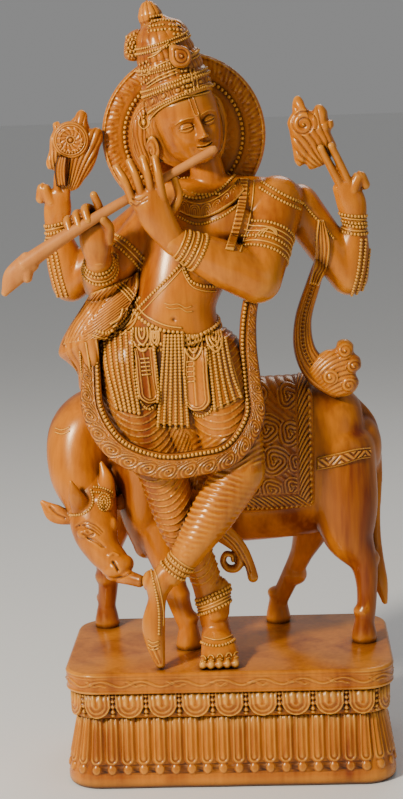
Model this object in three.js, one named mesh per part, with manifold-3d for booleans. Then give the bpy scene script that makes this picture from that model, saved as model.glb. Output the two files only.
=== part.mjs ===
// A carved wooden figure of a four-armed flute player who leans on a cow, cut with its plinth from one block.
// Millimetres, +Z up, the viewer looks along +Y. The origin is the centre of the plinth's underside.
import * as THREE from "three";
import { mergeVertices } from "three/addons/utils/BufferGeometryUtils.js";
import Module from "manifold-3d";

const wasm = await Module();
wasm.setup();
const { Manifold, Mesh } = wasm;

// Driving dimensions
const FIGURE_HEIGHT = 760; // from the plinth's top to the crown's tip
const FOOT_BAND_HEIGHT = 17; // the plain band at the bottom of the plinth
const PETAL_TIER_HEIGHT = 66; // the sloping tier of long lotus petals
const PENDANT_HEIGHT = 31; // the row of hanging pendants under the slab
const SLAB_HEIGHT = 25; // the slab that the feet and hooves stand on
const SLAB_MARGIN = 22; // bare slab outside the widest hooves, left and right
const SLAB_FRONT_MARGIN = 9; // bare slab before the toes and behind the hooves
const SLAB_CORNER = 38; // the radius of the slab's corners in plan
const FOOT_SPREAD = 3; // how far the foot band stands out past the slab
const WAIST_SETBACK = 12; // how far the petal tier's top stands in from the slab
const PENDANT_PITCH = 39; // from one pendant to the next
const PENDANT_DEPTH = 6; // how far a pendant stands out from the wall behind it
const PETAL_PITCH = 18.3; // from one petal to the next
const PETAL_DEPTH = 5; // how far a petal's face stands out from the groove beside it
const EDGE_SOFTENING = 3; // the worn edges of the slab and the foot band
const FLUTE_CLEARANCE = 0.4; // around the flute, where it lies in the hands

// The figure is drawn on a grid of 760 units from the plinth's top to the crown's tip.
const GRID_HEIGHT = 760;
const UNIT = FIGURE_HEIGHT / GRID_HEIGHT;
const PLINTH_HEIGHT = FOOT_BAND_HEIGHT + PETAL_TIER_HEIGHT + PENDANT_HEIGHT + SLAB_HEIGHT;
const STANCE = { halfWidth: 168 * UNIT, halfDepth: 106 * UNIT };
const SINK = 3; // how deep feet and hooves run into the slab that they are one with, in grid units

// Triangles in the finished solids. The face, the crown, the hands, the emblems and the feet are kept finer.
const CARVING_TRIANGLES = 6700;
const PLINTH_TRIANGLES = 3250;
const FLUTE_TRIANGLES = 400;
const FINE_ABOVE = 480; // in grid units above the plinth
const FINE_BELOW = 78;
const FINE_BEFORE = -80;

const FRONT = new THREE.Vector3(0, -1, 0);
const UP = new THREE.Vector3(0, 0, 1);
const RIGHT = new THREE.Vector3(1, 0, 0);

// A point of the figure: x, y and height above the plinth's top, in grid units
function at([x, y, z]) {
  return new THREE.Vector3(x * UNIT, y * UNIT, PLINTH_HEIGHT + z * UNIT);
}

// A three.js geometry as a closed solid with its faces pointing out
function solid(geometry) {
  const bare = geometry.clone();
  bare.deleteAttribute("normal");
  bare.deleteAttribute("uv");
  const merged = mergeVertices(bare, 1e-4);
  const vertProperties = merged.attributes.position.array;
  const triVerts = new Uint32Array(merged.index.array);
  const made = new Manifold(new Mesh({ numProp: 3, vertProperties, triVerts }));
  if (made.volume() > 0) return made;
  return new Manifold(new Mesh({ numProp: 3, vertProperties, triVerts: triVerts.reverse() }));
}

// The squared distance from a face's plane, weighted by its area, as the ten terms of a quadratic form
function planeForm(normal, point) {
  const area = normal.length() / 2;
  const { x, y, z } = normal.clone().normalize();
  const d = -(x * point.x + y * point.y + z * point.z);
  return [x * x, x * y, x * z, x * d, y * y, y * z, y * d, z * z, z * d, d * d].map((term) => term * area);
}

function formAt([xx, xy, xz, xd, yy, yz, yd, zz, zd, dd], { x, y, z }) {
  const squares = xx * x * x + yy * y * y + zz * z * z + dd;
  return squares + 2 * (xy * x * y + xz * x * z + yz * y * z + xd * x + yd * y + zd * z);
}

// Thins a solid to a number of triangles. It takes away the vertices that the form misses least, each one
// slid along an edge onto a neighbour, and keeps the surface closed and every face turned the way it was.
// Care says how much more a place's detail is worth than the rest.
function thin(made, target, care) {
  const mesh = made.getMesh();
  const points = Array.from({ length: mesh.numVert }, (_, i) => new THREE.Vector3(...mesh.position(i)));
  const faces = Array.from({ length: mesh.numTri }, (_, i) => [...mesh.verts(i)]);
  const around = points.map(() => new Set());
  const forms = points.map(() => new Array(10).fill(0));
  const normalOf = ([a, b, c]) => {
    const toB = points[b].clone().sub(points[a]);
    return toB.cross(points[c].clone().sub(points[a]));
  };
  faces.forEach((face, id) => {
    const worth = care(points[face[0]]);
    const form = planeForm(normalOf(face), points[face[0]]).map((term) => term * worth);
    for (const v of face) {
      around[v].add(id);
      forms[v] = forms[v].map((term, i) => term + form[i]);
    }
  });
  const neighbours = (v) => new Set([...around[v]].flatMap((id) => faces[id]).filter((other) => other !== v));
  const keepsForm = (from, to, near) => {
    const far = neighbours(to);
    if ([...near].filter((v) => far.has(v)).length !== 2) return false;
    return [...around[from]].every((id) => {
      if (faces[id].includes(to)) return true;
      const before = normalOf(faces[id]);
      const after = normalOf(faces[id].map((v) => (v === from ? to : v)));
      return after.dot(before) > 0.4 * after.length() * before.length() && after.length() > 0.05;
    });
  };
  const slide = (from, to) => {
    for (const id of around[from]) {
      const shared = faces[id].includes(to);
      if (shared) for (const v of faces[id]) around[v].delete(id);
      faces[id] = shared ? null : faces[id].map((v) => (v === from ? to : v));
      if (!shared) around[to].add(id);
    }
    forms[to] = forms[to].map((term, i) => term + forms[from][i]);
    around[from].clear();
  };
  let count = faces.length;
  for (let allowed = 1e-4; count > target && allowed < 1e7; allowed *= 1.6)
    for (let from = 0; from < points.length && count > target; from++) {
      if (!around[from].size) continue;
      const near = neighbours(from);
      const cost = (to) => formAt(forms[from], points[to]) + formAt(forms[to], points[to]);
      const costs = [...near].map((to) => [cost(to), to]);
      const within = costs.filter(([missed]) => missed < allowed).sort((a, b) => a[0] - b[0]);
      const found = within.find(([, to]) => keepsForm(from, to, near));
      if (!found) continue;
      slide(from, found[1]);
      count -= 2;
    }
  const kept = points.map((_, v) => v).filter((v) => around[v].size);
  const place = new Map(kept.map((v, i) => [v, i]));
  const vertProperties = new Float32Array(kept.flatMap((v) => points[v].toArray()));
  const triVerts = new Uint32Array(faces.filter(Boolean).flatMap((face) => face.map((v) => place.get(v))));
  return new Manifold(new Mesh({ numProp: 3, vertProperties, triVerts }));
}

// Moves every vertex of a geometry by a function of its position
function reshape(geometry, move) {
  const position = geometry.attributes.position;
  const point = new THREE.Vector3();
  for (let i = 0; i < position.count; i++) {
    point.fromBufferAttribute(position, i);
    const moved = move(point);
    position.setXYZ(i, moved.x, moved.y, moved.z);
  }
  return geometry;
}

// A smooth curve through grid points, read at a share of its length: place, direction and cross directions
function route(spine, facing) {
  const curve = new THREE.CatmullRomCurve3(spine.map(at), false, "centripetal");
  return (share) => {
    const along = curve.getTangent(share);
    const out = facing.clone().addScaledVector(along, -facing.dot(along)).normalize();
    const side = new THREE.Vector3().crossVectors(along, out);
    return { centre: curve.getPoint(share), along, out, side };
  };
}

// Half widths and half depths given along a limb, read at a share of its length
function taper(girth) {
  const sizes = girth.map((size) => (Array.isArray(size) ? size : [size, size]));
  const curve = new THREE.CatmullRomCurve3(sizes.map(([width, depth]) => new THREE.Vector3(width, depth, 0)));
  return (share) => curve.getPoint(share).multiplyScalar(UNIT);
}

// A round limb with domed ends. Girth gives its half width and half depth, or one radius, along the spine.
function limb(spine, girth, { sides = 12, steps = 3 * (spine.length - 1), dome = 3, facing = FRONT } = {}) {
  const place = route(spine, facing);
  const size = taper(girth);
  const rings = steps + 2 * dome;
  const ball = new THREE.SphereGeometry(1, sides, rings);
  return solid(
    reshape(ball, (p) => {
      const ring = Math.round((Math.acos(THREE.MathUtils.clamp(p.y, -1, 1)) / Math.PI) * rings);
      const share = THREE.MathUtils.clamp((ring - dome) / steps, 0, 1);
      const past = Math.max(0, dome - ring, ring - dome - steps) / dome;
      const swell = Math.cos((past * Math.PI) / 2);
      const reach = Math.sin((past * Math.PI) / 2) * (ring < dome ? -1 : 1);
      const round = Math.max(Math.hypot(p.x, p.z), 1e-6);
      const { centre, along, out, side } = place(share);
      const { x: width, y: depth } = size(share);
      return centre
        .addScaledVector(along, reach * Math.min(width, depth))
        .addScaledVector(side, (p.x / round) * swell * width)
        .addScaledVector(out, (p.z / round) * swell * depth);
    }),
  );
}

// A flat band along a path. Relief raises its front by a function of the share across and the share along.
function band(spine, widths, thickness, { steps = 12, across = 1, facing = FRONT, relief = () => 0 } = {}) {
  const place = route(spine, facing);
  const size = taper(widths);
  const bar = new THREE.BoxGeometry(1, 1, 1, across, steps, 1);
  return solid(
    reshape(bar, (p) => {
      const share = 0.5 - p.y;
      const { centre, out, side } = place(share);
      const raised = p.z > 0 ? relief(p.x, share) : 0;
      return centre
        .addScaledVector(side, p.x * size(share).x)
        .addScaledVector(out, (p.z * thickness + raised) * UNIT);
    }),
  );
}

function turned([x, y, z]) {
  const degrees = THREE.MathUtils.degToRad;
  const angles = new THREE.Euler(degrees(x), degrees(y), degrees(z), "ZYX");
  return new THREE.Matrix4().makeRotationFromEuler(angles);
}

// Turns a geometry by angles in degrees about X, Y and Z and sets it at a grid point
function placed(geometry, centre, turn = [0, 0, 0]) {
  const place = at(centre);
  return solid(geometry.applyMatrix4(turned(turn)).translate(place.x, place.y, place.z));
}

// An oval lump
function lump(centre, [width, depth, height], { turn, sides = 10, rings = 6 } = {}) {
  const ball = new THREE.SphereGeometry(1, sides, rings).rotateX(Math.PI / 2);
  return placed(ball.scale(width * UNIT, depth * UNIT, height * UNIT), centre, turn);
}

// Turned work. Each profile entry is a radius and a height, in grid units.
function turnedWork(centre, profile, { turn, sides = 12 } = {}) {
  const points = profile.map(([radius, height]) => new THREE.Vector2(radius * UNIT, height * UNIT));
  return placed(new THREE.LatheGeometry(points, sides).rotateX(Math.PI / 2), centre, turn);
}

// A ring round a limb: a bangle, an anklet or a belt
function bangle(centre, [width, depth], thickness, { turn, sides = 14, section = 5 } = {}) {
  const torus = new THREE.TorusGeometry(1, thickness / Math.max(width, depth), section, sides);
  return placed(torus.scale(width * UNIT, depth * UNIT, Math.max(width, depth) * UNIT), centre, turn);
}

// A cord of beads, drawn as a plain rod
function rod(spine, radius) {
  return limb(spine, spine.map(() => radius), { sides: 6, dome: 1 });
}

// A box between two grid points
function box(low, high) {
  const size = at(high).sub(at(low));
  const middle = at(high).add(at(low)).multiplyScalar(0.5);
  return solid(new THREE.BoxGeometry(size.x, size.y, size.z).translate(middle.x, middle.y, middle.z));
}

// The plinth's outline in plan
function roundedRectangle(halfWidth, halfDepth, corner) {
  const outline = new THREE.Shape();
  outline.absarc(halfWidth - corner, halfDepth - corner, corner, 0, Math.PI / 2);
  outline.absarc(corner - halfWidth, halfDepth - corner, corner, Math.PI / 2, Math.PI);
  outline.absarc(corner - halfWidth, corner - halfDepth, corner, Math.PI, 1.5 * Math.PI);
  outline.absarc(halfWidth - corner, corner - halfDepth, corner, 1.5 * Math.PI, 2 * Math.PI);
  outline.closePath();
  return outline;
}

// One layer of the plinth, with softened edges above and below
function layer(halfWidth, halfDepth, corner, bottom, height, softening) {
  const slab = new THREE.ExtrudeGeometry(roundedRectangle(halfWidth, halfDepth, corner), {
    depth: height - 2 * softening,
    bevelEnabled: softening > 0,
    bevelThickness: softening,
    bevelSize: softening,
    bevelOffset: -softening,
    bevelSegments: 1,
    curveSegments: 3,
  });
  return solid(slab.translate(0, 0, bottom + softening));
}

// The plinth: foot band, sloping petals, hanging pendants and slab
function plinth() {
  const slab = { width: STANCE.halfWidth + SLAB_MARGIN, depth: STANCE.halfDepth + SLAB_FRONT_MARGIN };
  const setback = PENDANT_DEPTH + EDGE_SOFTENING;
  const wall = { width: slab.width - setback, depth: slab.depth - setback };
  const petalTop = FOOT_BAND_HEIGHT + PETAL_TIER_HEIGHT;
  const pendantTop = petalTop + PENDANT_HEIGHT;
  const LAP = 1; // how far one layer runs into the next
  return [
    footAndPetals(slab),
    layer(wall.width, wall.depth, SLAB_CORNER - setback, petalTop - LAP, PENDANT_HEIGHT + 2 * LAP, 0),
    layer(slab.width, slab.depth, SLAB_CORNER, pendantTop, SLAB_HEIGHT, EDGE_SOFTENING),
    ...pendants(slab, pendantTop + LAP),
  ];
}

// The foot and the petals: a cylinder laid on the foot's outline. It is plain up to the foot band's top, and
// from there it leans in as it rises, with a groove between two petals.
function footAndPetals(slab) {
  const outline = roundedRectangle(slab.width + FOOT_SPREAD, slab.depth + FOOT_SPREAD, SLAB_CORNER);
  const petals = Math.round(outline.getLength() / PETAL_PITCH);
  const ACROSS = [1, 0.1, 0.1]; // how deep the surface lies at the groove and at the petal's two edges
  const points = petals * ACROSS.length;
  const ROWS = [
    { height: 0, inwards: EDGE_SOFTENING, petal: 0 },
    { height: FOOT_BAND_HEIGHT, inwards: 0, petal: 0 },
    { height: FOOT_BAND_HEIGHT + EDGE_SOFTENING, inwards: 0, petal: 1 },
    { height: FOOT_BAND_HEIGHT + PETAL_TIER_HEIGHT, inwards: FOOT_SPREAD + WAIST_SETBACK, petal: 1 },
  ];
  const drum = new THREE.CylinderGeometry(1, 1, 1, points, ROWS.length - 1);
  return solid(
    reshape(drum, (p) => {
      const index = Math.round((Math.atan2(p.x, p.z) / (2 * Math.PI) + 1) * points) % points;
      const place = outline.getPointAt(index / points);
      const along = outline.getTangentAt(index / points);
      const row = ROWS[Math.round((p.y + 0.5) * (ROWS.length - 1))];
      const inwards = row.inwards + PETAL_DEPTH * row.petal * ACROSS[index % ACROSS.length];
      const edge = new THREE.Vector2(place.x - along.y * inwards, place.y + along.x * inwards);
      edge.multiplyScalar(Math.hypot(p.x, p.z));
      return new THREE.Vector3(edge.x, edge.y, row.height);
    }),
  );
}

// The pendants hang under the slab on the front and both sides, each a round-ended plate with a raised
// tongue. The back, which faces a wall, is plain.
function pendants(slab, top) {
  const PLATES = [
    { halfWidth: PENDANT_PITCH * 0.42, height: PENDANT_HEIGHT, setback: 4 },
    { halfWidth: PENDANT_PITCH * 0.2, height: PENDANT_HEIGHT * 0.7, setback: 1.5 },
  ];
  const outline = roundedRectangle(slab.width, slab.depth, SLAB_CORNER);
  const count = Math.round(outline.getLength() / PENDANT_PITCH);
  const hung = ({ halfWidth, height, setback }) => {
    const shape = new THREE.Shape();
    shape.moveTo(-halfWidth, 0);
    shape.absarc(0, halfWidth - height, halfWidth, Math.PI, 2 * Math.PI);
    shape.lineTo(halfWidth, 0);
    const depth = 2 * PENDANT_DEPTH;
    const plate = new THREE.ExtrudeGeometry(shape, { depth, bevelEnabled: false, curveSegments: 2 });
    return plate.rotateX(Math.PI / 2).translate(0, depth + setback, 0);
  };
  const made = [];
  for (let i = 0; i < count; i++) {
    const place = outline.getPointAt((i + 0.5) / count);
    const along = outline.getTangentAt((i + 0.5) / count);
    if (place.y > slab.depth - SLAB_CORNER) continue;
    for (const size of PLATES) {
      const plate = hung(size).rotateZ(Math.atan2(along.y, along.x));
      made.push(solid(plate.translate(place.x, place.y, top)));
    }
  }
  return made;
}

// The cow's barrel, from its shoulder to its rump: half height and half width at each place
const BARREL = {
  spine: [[-108, 28, 212], [-60, 30, 214], [20, 32, 216], [95, 36, 220], [135, 40, 226], [156, 44, 222]],
  height: [62, 90, 98, 96, 80, 46],
  width: [40, 48, 52, 52, 46, 32],
};

function barrel(grown) {
  const girth = BARREL.height.map((height, i) => [BARREL.width[i] + grown, height + grown]);
  return limb(BARREL.spine, girth, { sides: 20, facing: UP });
}

// The cow stands behind with its head turned down to the foot that it licks
function cow() {
  const HOOF = [[0, 0], [15, 0], [13, 16], [11, 26], [13, 32], [0, 36]];
  const STANDS = [[-156, 84], [-49, -16], [58, 89], [161, -3]];
  const hooves = STANDS.map(([x, y]) => turnedWork([x, y, -SINK], HOOF));
  return [
    barrel(0),
    // blanket, its border down the side and along the bottom, and the belt round the rump
    barrel(3).intersect(box([-40, -60, 168], [104, 60, 340])),
    barrel(6).intersect(box([88, -60, 164], [106, 60, 340])),
    barrel(6).intersect(box([-40, -60, 162], [100, 60, 178])),
    barrel(3).intersect(box([100, -60, 210], [200, 60, 226])),
    // neck and brisket
    limb(
      [[-96, 44, 240], [-138, 40, 264], [-166, 26, 256], [-173, 4, 216], [-161, -12, 184]],
      [[46, 72], [48, 62], [44, 48], [37, 38], [31, 30]],
      { sides: 16 },
    ),
    limb([[-98, 20, 214], [-100, 14, 160], [-98, 20, 118]], [[36, 46], [28, 34], [16, 20]]),
    // head, muzzle, nostril and tongue
    limb(
      [[-157, -14, 194], [-154, -31, 160], [-142, -45, 125], [-134, -54, 105]],
      [[31, 26], [28, 26], [20, 20], [17, 16]],
      { sides: 16 },
    ),
    lump([-134, -60, 102], [18, 14, 13], { turn: [0, -20, 0] }),
    lump([-128, -72, 108], [4, 4, 5], { turn: [0, -20, 0] }),
    limb([[-132, -56, 92], [-112, -66, 88], [-98, -74, 88]], [8, 6, 4]),
    // the eye under its brow
    lump([-158, -52, 158], [11, 6, 6], { turn: [0, 12, 0] }),
    lump([-158, -49, 168], [14, 7, 5], { turn: [0, 12, 0] }),
    // horns, ears, the jewel on the brow and the collar
    limb([[-172, -28, 176], [-182, -26, 198], [-181, -22, 214]], [8, 6, 2]),
    limb([[-142, -26, 198], [-139, -24, 214], [-145, -18, 232]], [8, 6, 2]),
    limb([[-182, -16, 162], [-202, -13, 166], [-219, -9, 181]], [[7, 6], [12, 5], [2, 2]]),
    limb([[-128, -10, 176], [-114, -4, 184], [-106, 2, 200]], [[7, 6], [9, 5], [2, 2]]),
    lump([-146, -46, 190], [14, 6, 14]),
    bangle([-170, 14, 236], [43, 42], 3, { turn: [-18, 4, 0] }),
    // legs
    limb([[-130, 52, 160], [-150, 66, 100], [-152, 78, 60], [-156, 84, 24]], [24, 16, 15, 11]),
    limb([[-84, 8, 140], [-70, -6, 92], [-60, -12, 58], [-49, -16, 24]], [26, 17, 16, 11]),
    limb(
      [[112, 58, 196], [104, 64, 132], [88, 74, 88], [74, 82, 58], [58, 89, 24]],
      [[40, 26], [26, 20], 15, 13, 11],
    ),
    limb(
      [[130, 24, 226], [140, 16, 166], [147, 12, 124], [163, 8, 90], [165, 2, 50], [161, -3, 20]],
      [[50, 38], [42, 32], [31, 27], [16, 16], 12, 12],
    ),
    ...hooves,
    // the dew claws, and the tail with its tuft, which touches the near hock
    lump([80, 86, 42], [6, 6, 7]),
    limb(
      [
        [150, 52, 290],
        [177, 52, 256],
        [183, 50, 200],
        [181, 44, 150],
        [178, 36, 112],
        [182, 32, 70],
        [188, 28, 38],
      ],
      [6, 6, 6, 5, 8, 9, 4],
      { steps: 16 },
    ),
    lump([171, 22, 104], [12, 20, 9]),
  ];
}

// One leg carries the weight, the other crosses before it and stands on its toes
function legs() {
  const toes = [0, 1, 2, 3, 4].map((i) => lump([-31 + 8.4 * i, -104, 4], [5, 8, 6]));
  return [
    limb([[-94, -44, 350], [-92, -56, 290], [-70, -64, 226]], [[48, 44], [42, 38], [28, 27]], { sides: 16 }),
    limb([[-70, -64, 226], [-52, -56, 160], [-26, -48, 96], [-18, -46, 40]], [[28, 27], [25, 24], 18, 16]),
    limb([[-16, -48, 350], [4, -60, 290], [20, -76, 226]], [[46, 44], [41, 38], [29, 27]], { sides: 16 }),
    limb([[20, -76, 226], [-12, -86, 180], [-44, -92, 134], [-62, -92, 110]], [[29, 27], [26, 23], 18, 14]),
    // the tiptoe foot, its heel raised
    limb(
      [[-66, -88, 106], [-79, -90, 84], [-80, -93, 48], [-80, -97, 8]],
      [[16, 14], [17, 15], [15, 12], [11, 8]],
    ),
    lump([-83, -80, 96], [14, 14, 15]),
    // the standing foot and its toes
    limb([[-17, -38, 18], [-15, -66, 14], [-14, -94, 6]], [[17, 17], [21, 15], [21, 9]], { facing: UP }),
    ...toes,
    // anklets, and the foot's jewelled bands
    bangle([-19, -47, 66], [21, 21], 5, { turn: [8, -10, 0] }),
    bangle([-19, -47, 55], [21, 21], 5, { turn: [8, -10, 0] }),
    bangle([-15, -60, 24], [22, 20], 4, { turn: [35, 0, 0] }),
    bangle([-52, -91, 123], [20, 19], 5, { turn: [0, 52, 0] }),
    bangle([-60, -91, 115], [18, 17], 4, { turn: [0, 52, 0] }),
    rod([[-72, -104, 110], [-69, -108, 84], [-72, -108, 52], [-72, -106, 26]], 3.5),
    // the wrapped cloth between the thighs, and behind it the wood left standing against the cow
    limb([[-54, -46, 320], [-44, -54, 262], [-32, -50, 214]], [[56, 40], [34, 28], [14, 14]]),
    limb([[-50, -22, 300], [-46, -20, 236]], [[46, 34], [36, 30]]),
  ];
}

function torso() {
  const SPINE = [[-60, -42, 330], [-54, -46, 384], [-48, -46, 424], [-32, -38, 470], [-8, -30, 516]];
  const GIRTH = [[74, 46], [60, 46], [47, 43], [54, 41], [64, 36]];
  return [
    limb(SPINE, GIRTH, { sides: 20 }),
    // the shoulders, the pushed-out hip, the breast and the neck
    limb([[-74, -20, 508], [-4, -24, 526], [74, -18, 528]], [[26, 26], [34, 34], [28, 28]]),
    limb([[-98, -34, 320], [-118, -34, 372], [-92, -34, 428]], [[36, 36], [36, 34], [24, 26]]),
    lump([14, -58, 508], [32, 16, 24]),
    lump([-38, -58, 498], [28, 14, 22]),
    limb([[-4, -26, 530], [-7, -32, 560], [-14, -38, 590]], [30, 21, 20]),
  ];
}

// An arm from shoulder to elbow to wrist, and the radius at each
function arm(shoulder, elbow, wrist, [top, bend, thin]) {
  const upper = [top, top * 0.5 + bend * 0.5, bend];
  const muscle = elbow.map((value, i) => value * 0.62 + wrist[i] * 0.38);
  const middle = elbow.map((value, i) => (value + shoulder[i]) / 2);
  return [
    limb([shoulder, middle, elbow], upper, { facing: RIGHT }),
    limb([elbow, muscle, wrist], [bend, bend * 0.96, thin], { facing: RIGHT }),
  ];
}

function finger(joints, thickness = 5) {
  return limb(joints, joints.map(() => thickness), { sides: 8, facing: RIGHT });
}

function arms() {
  // the upper hand's fingers lie over the flute, from knuckle to tip
  const UPPER_FINGERS = [
    [-88, 550, -104, 577],
    [-77, 553, -90, 583],
    [-66, 553, -75, 586],
    [-55, 550, -62, 586],
  ];
  const upper = UPPER_FINGERS.map(([x, z, tipX, tipZ]) =>
    finger([[x, -112, z - 8], [(x + tipX) / 2, -116, (z + tipZ) / 2], [tipX, -110, tipZ]]),
  );
  // the lower hand's fingers curl over the flute
  const LOWER_FINGERS = [[-158, 512], [-148, 518], [-138, 524]];
  const lower = LOWER_FINGERS.map(([x, z]) =>
    finger([[x + 18, -98, z - 14], [x + 2, -102, z + 8], [x - 3, -113, z + 9], [x, -118, z - 2]], 5.5),
  );
  return [
    ...arm([70, -22, 528], [46, -74, 446], [-46, -98, 494], [31, 28, 15]),
    ...arm([94, -4, 522], [152, 8, 438], [160, 0, 500], [26, 23, 13]),
    ...arm([-72, -22, 506], [-132, -48, 446], [-131, -90, 476], [28, 23, 14]),
    ...arm([-78, -2, 512], [-174, 8, 440], [-187, 0, 504], [26, 23, 13]),
    limb([[-44, -99, 492], [-62, -108, 520], [-72, -111, 546]], [[14, 12], [20, 10], [20, 9]]),
    limb([[-131, -90, 474], [-132, -99, 494], [-132, -102, 512]], [[13, 12], [18, 12], [18, 10]]),
    limb([[160, -1, 500], [156, -5, 524], [148, -7, 544]], [[13, 10], [17, 10], [14, 8]]),
    limb([[-187, -1, 504], [-184, -5, 526], [-181, -7, 544]], [[13, 10], [16, 10], [13, 8]]),
    ...upper,
    ...lower,
    finger([[-50, -102, 522], [-38, -98, 542], [-42, -98, 562]]),
    finger([[-124, -104, 510], [-126, -108, 534], [-131, -110, 548]]),
    finger([[-118, -102, 496], [-116, -108, 512], [-122, -114, 522]], 6),
    // the back hands hold their emblems between two long fingers and fold the others
    finger([[146, -8, 540], [134, -9, 566], [122, -10, 590]]),
    finger([[156, -8, 540], [146, -9, 566], [134, -10, 590]]),
    finger([[158, -8, 538], [166, -8, 554], [172, -4, 544]], 7),
    finger([[-183, -8, 538], [-181, -10, 566], [-174, -11, 592]]),
    finger([[-174, -8, 538], [-170, -10, 566], [-164, -11, 592]]),
    finger([[-190, -8, 536], [-199, -8, 552], [-203, -4, 540]], 7),
  ];
}

// Bangles, armlets, and the beaded edges of the back forearms
function armJewels() {
  return [
    bangle([-39, -96, 491], [17, 17], 4, { turn: [0, 62, 15] }),
    bangle([-29, -94, 486], [19, 19], 4, { turn: [0, 62, 15] }),
    bangle([159, 0, 496], [15, 15], 4, { turn: [0, 6, 0] }),
    bangle([158, 1, 484], [18, 17], 5, { turn: [0, 6, 0] }),
    bangle([-186, 0, 500], [14, 14], 4, { turn: [0, -8, 0] }),
    bangle([-185, 1, 490], [17, 16], 5, { turn: [0, -8, 0] }),
    bangle([-131, -82, 470], [18, 18], 5, { turn: [60, 0, 0] }),
    // armlets and shoulder bands
    bangle([60, -45, 490], [30, 30], 5, { turn: [34, 16, 0] }),
    bangle([55, -55, 476], [29, 29], 5, { turn: [34, 16, 0] }),
    lump([54, -84, 494], [13, 6, 13], { turn: [30, 10, 0] }),
    bangle([122, 3, 481], [25, 25], 5, { turn: [0, -54, 0] }),
    bangle([-104, -36, 474], [27, 26], 5, { turn: [20, 40, 0] }),
    rod([[176, 4, 490], [177, 8, 450], [168, 9, 420]], 4.5),
    rod([[-201, 4, 492], [-198, 8, 450], [-186, 10, 424]], 5),
  ];
}

// The head leans to the viewer's left and turns a little to the right. Its face is a plain, calm one.
const HEAD = { centre: [-26, -46, 618], turn: [4, -17, 22] };

// A place on the head, from its own right, front and height, as a grid point
function onHead(right, front, height) {
  const offset = new THREE.Vector3(right, -front, height).applyMatrix4(turned(HEAD.turn));
  return [HEAD.centre[0] + offset.x, HEAD.centre[1] + offset.y, HEAD.centre[2] + offset.z];
}

function head() {
  const part = (place, size, more) => lump(onHead(...place), size, { turn: HEAD.turn, ...more });
  const bothSides = [-1, 1].flatMap((side) => [
    part([side * 14, 29, 3], [9, 5, 5]),
    part([side * 14, 30, 12], [11, 4, 3]),
    part([side * 14, 18, -14], [13, 13, 14]),
    part([side * 34, -4, -8], [6, 10, 18]),
    part([side * 38, 0, -32], [8, 7, 10]),
    limb([onHead(side * 44, -18, 26), onHead(side * 52, -12, -4), onHead(side * 48, -12, -40)], [9, 9, 7]),
  ]);
  return [
    part([0, -4, 10], [34, 38, 42], { sides: 16, rings: 10 }),
    part([0, 9, -16], [27, 25, 29], { sides: 14, rings: 8 }),
    part([0, 27, -41], [11, 9, 8]),
    limb([onHead(0, 31, 12), onHead(0, 37, -3), onHead(0, 40, -11)], [4, 5, 6]),
    part([0, 34, -13], [9, 5, 4]),
    part([0, 34, -23], [10, 4, 3]),
    part([0, 33, -28], [8, 4, 3.5]),
    // hair behind, which runs into the halo
    part([0, -26, -6], [44, 24, 48], { sides: 14, rings: 8 }),
    ...bothSides,
  ];
}

// The crown: a jewelled band and narrowing tiers, with a crest on each side, a bud on top and jewels in front
function crown() {
  const TIERS = [
    [0, 0],
    [39, 0],
    [41, 5],
    [39, 16],
    [41, 20],
    [38, 26],
    [37, 40],
    [40, 44],
    [36, 50],
    [33, 62],
    [35, 67],
    [29, 74],
    [19, 86],
    [0, 92],
  ];
  const jewel = (place, size) => lump(onHead(...place), size, { turn: HEAD.turn });
  return [
    turnedWork(onHead(0, -4, 22), TIERS, { turn: [2, -19, 22], sides: 20 }),
    limb([[-74, -26, 706], [-86, -26, 712]], [[16, 20], [13, 18]]),
    limb([[-44, -22, 712], [-36, -22, 722]], [[16, 20], [13, 18]]),
    limb([[-60, -30, 716], [-68, -30, 736], [-68, -30, 750]], [18, 12, 9]),
    jewel([-2, 32, 70], [14, 8, 16]),
    jewel([0, 36, 38], [14, 6, 11]),
    jewel([-22, 29, 34], [10, 6, 9]),
    jewel([22, 29, 34], [10, 6, 9]),
  ];
}

// The halo: a round shield behind the head, with a raised rim and a sunken ring
function halo() {
  const PROFILE = [[0, 0], [91, 0], [94, 6], [91, 13], [81, 12], [77, 6], [58, 6], [52, 12], [0, 12]];
  return [turnedWork([-35, 12, 607], PROFILE, { turn: [90, 0, 0], sides: 40 })];
}

// The wheel and the conch, each with flames and a ribbon
function emblems() {
  const FACE = [[0, 0], [21, 0], [24, 4], [24, 12], [18, 14], [12, 11], [8, 15], [0, 17]];
  const flame = (from, to, width) => limb([from, to], [[width, 6], [width * 0.5, 4]]);
  return [
    turnedWork([-164, -4, 606], FACE, { turn: [90, 0, 0], sides: 20 }),
    flame([-158, -10, 620], [-151, -10, 634], 11),
    flame([-178, -10, 614], [-181, -10, 627], 8),
    flame([-148, -8, 608], [-126, -4, 606], 10),
    band(
      [[-142, -6, 614], [-140, -6, 586], [-150, -7, 562], [-164, -8, 540]],
      [18, 22, 20, 8],
      11,
      { steps: 8 },
    ),
    band([[-184, -6, 620], [-190, -6, 590], [-194, -6, 572]], [12, 15, 14], 9, { steps: 4 }),
    limb([[-166, -9, 600], [-174, -9, 566], [-178, -8, 544]], [[12, 8], [12, 8], [9, 8]]),
    limb(
      [[104, -10, 624], [112, -12, 606], [122, -12, 584], [132, -10, 566]],
      [[16, 13], [25, 15], [22, 13], [10, 9]],
    ),
    bangle([106, -23, 616], [11, 11], 4, { turn: [90, 0, 0] }),
    flame([100, -10, 628], [97, -10, 641], 11),
    flame([122, -10, 616], [131, -10, 634], 11),
    band([[134, -8, 624], [142, -8, 600], [148, -8, 584]], [16, 18, 14], 11, { steps: 4 }),
    band([[94, -8, 612], [96, -8, 584], [108, -8, 562]], [12, 14, 12], 10, { steps: 4 }),
  ];
}

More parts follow.
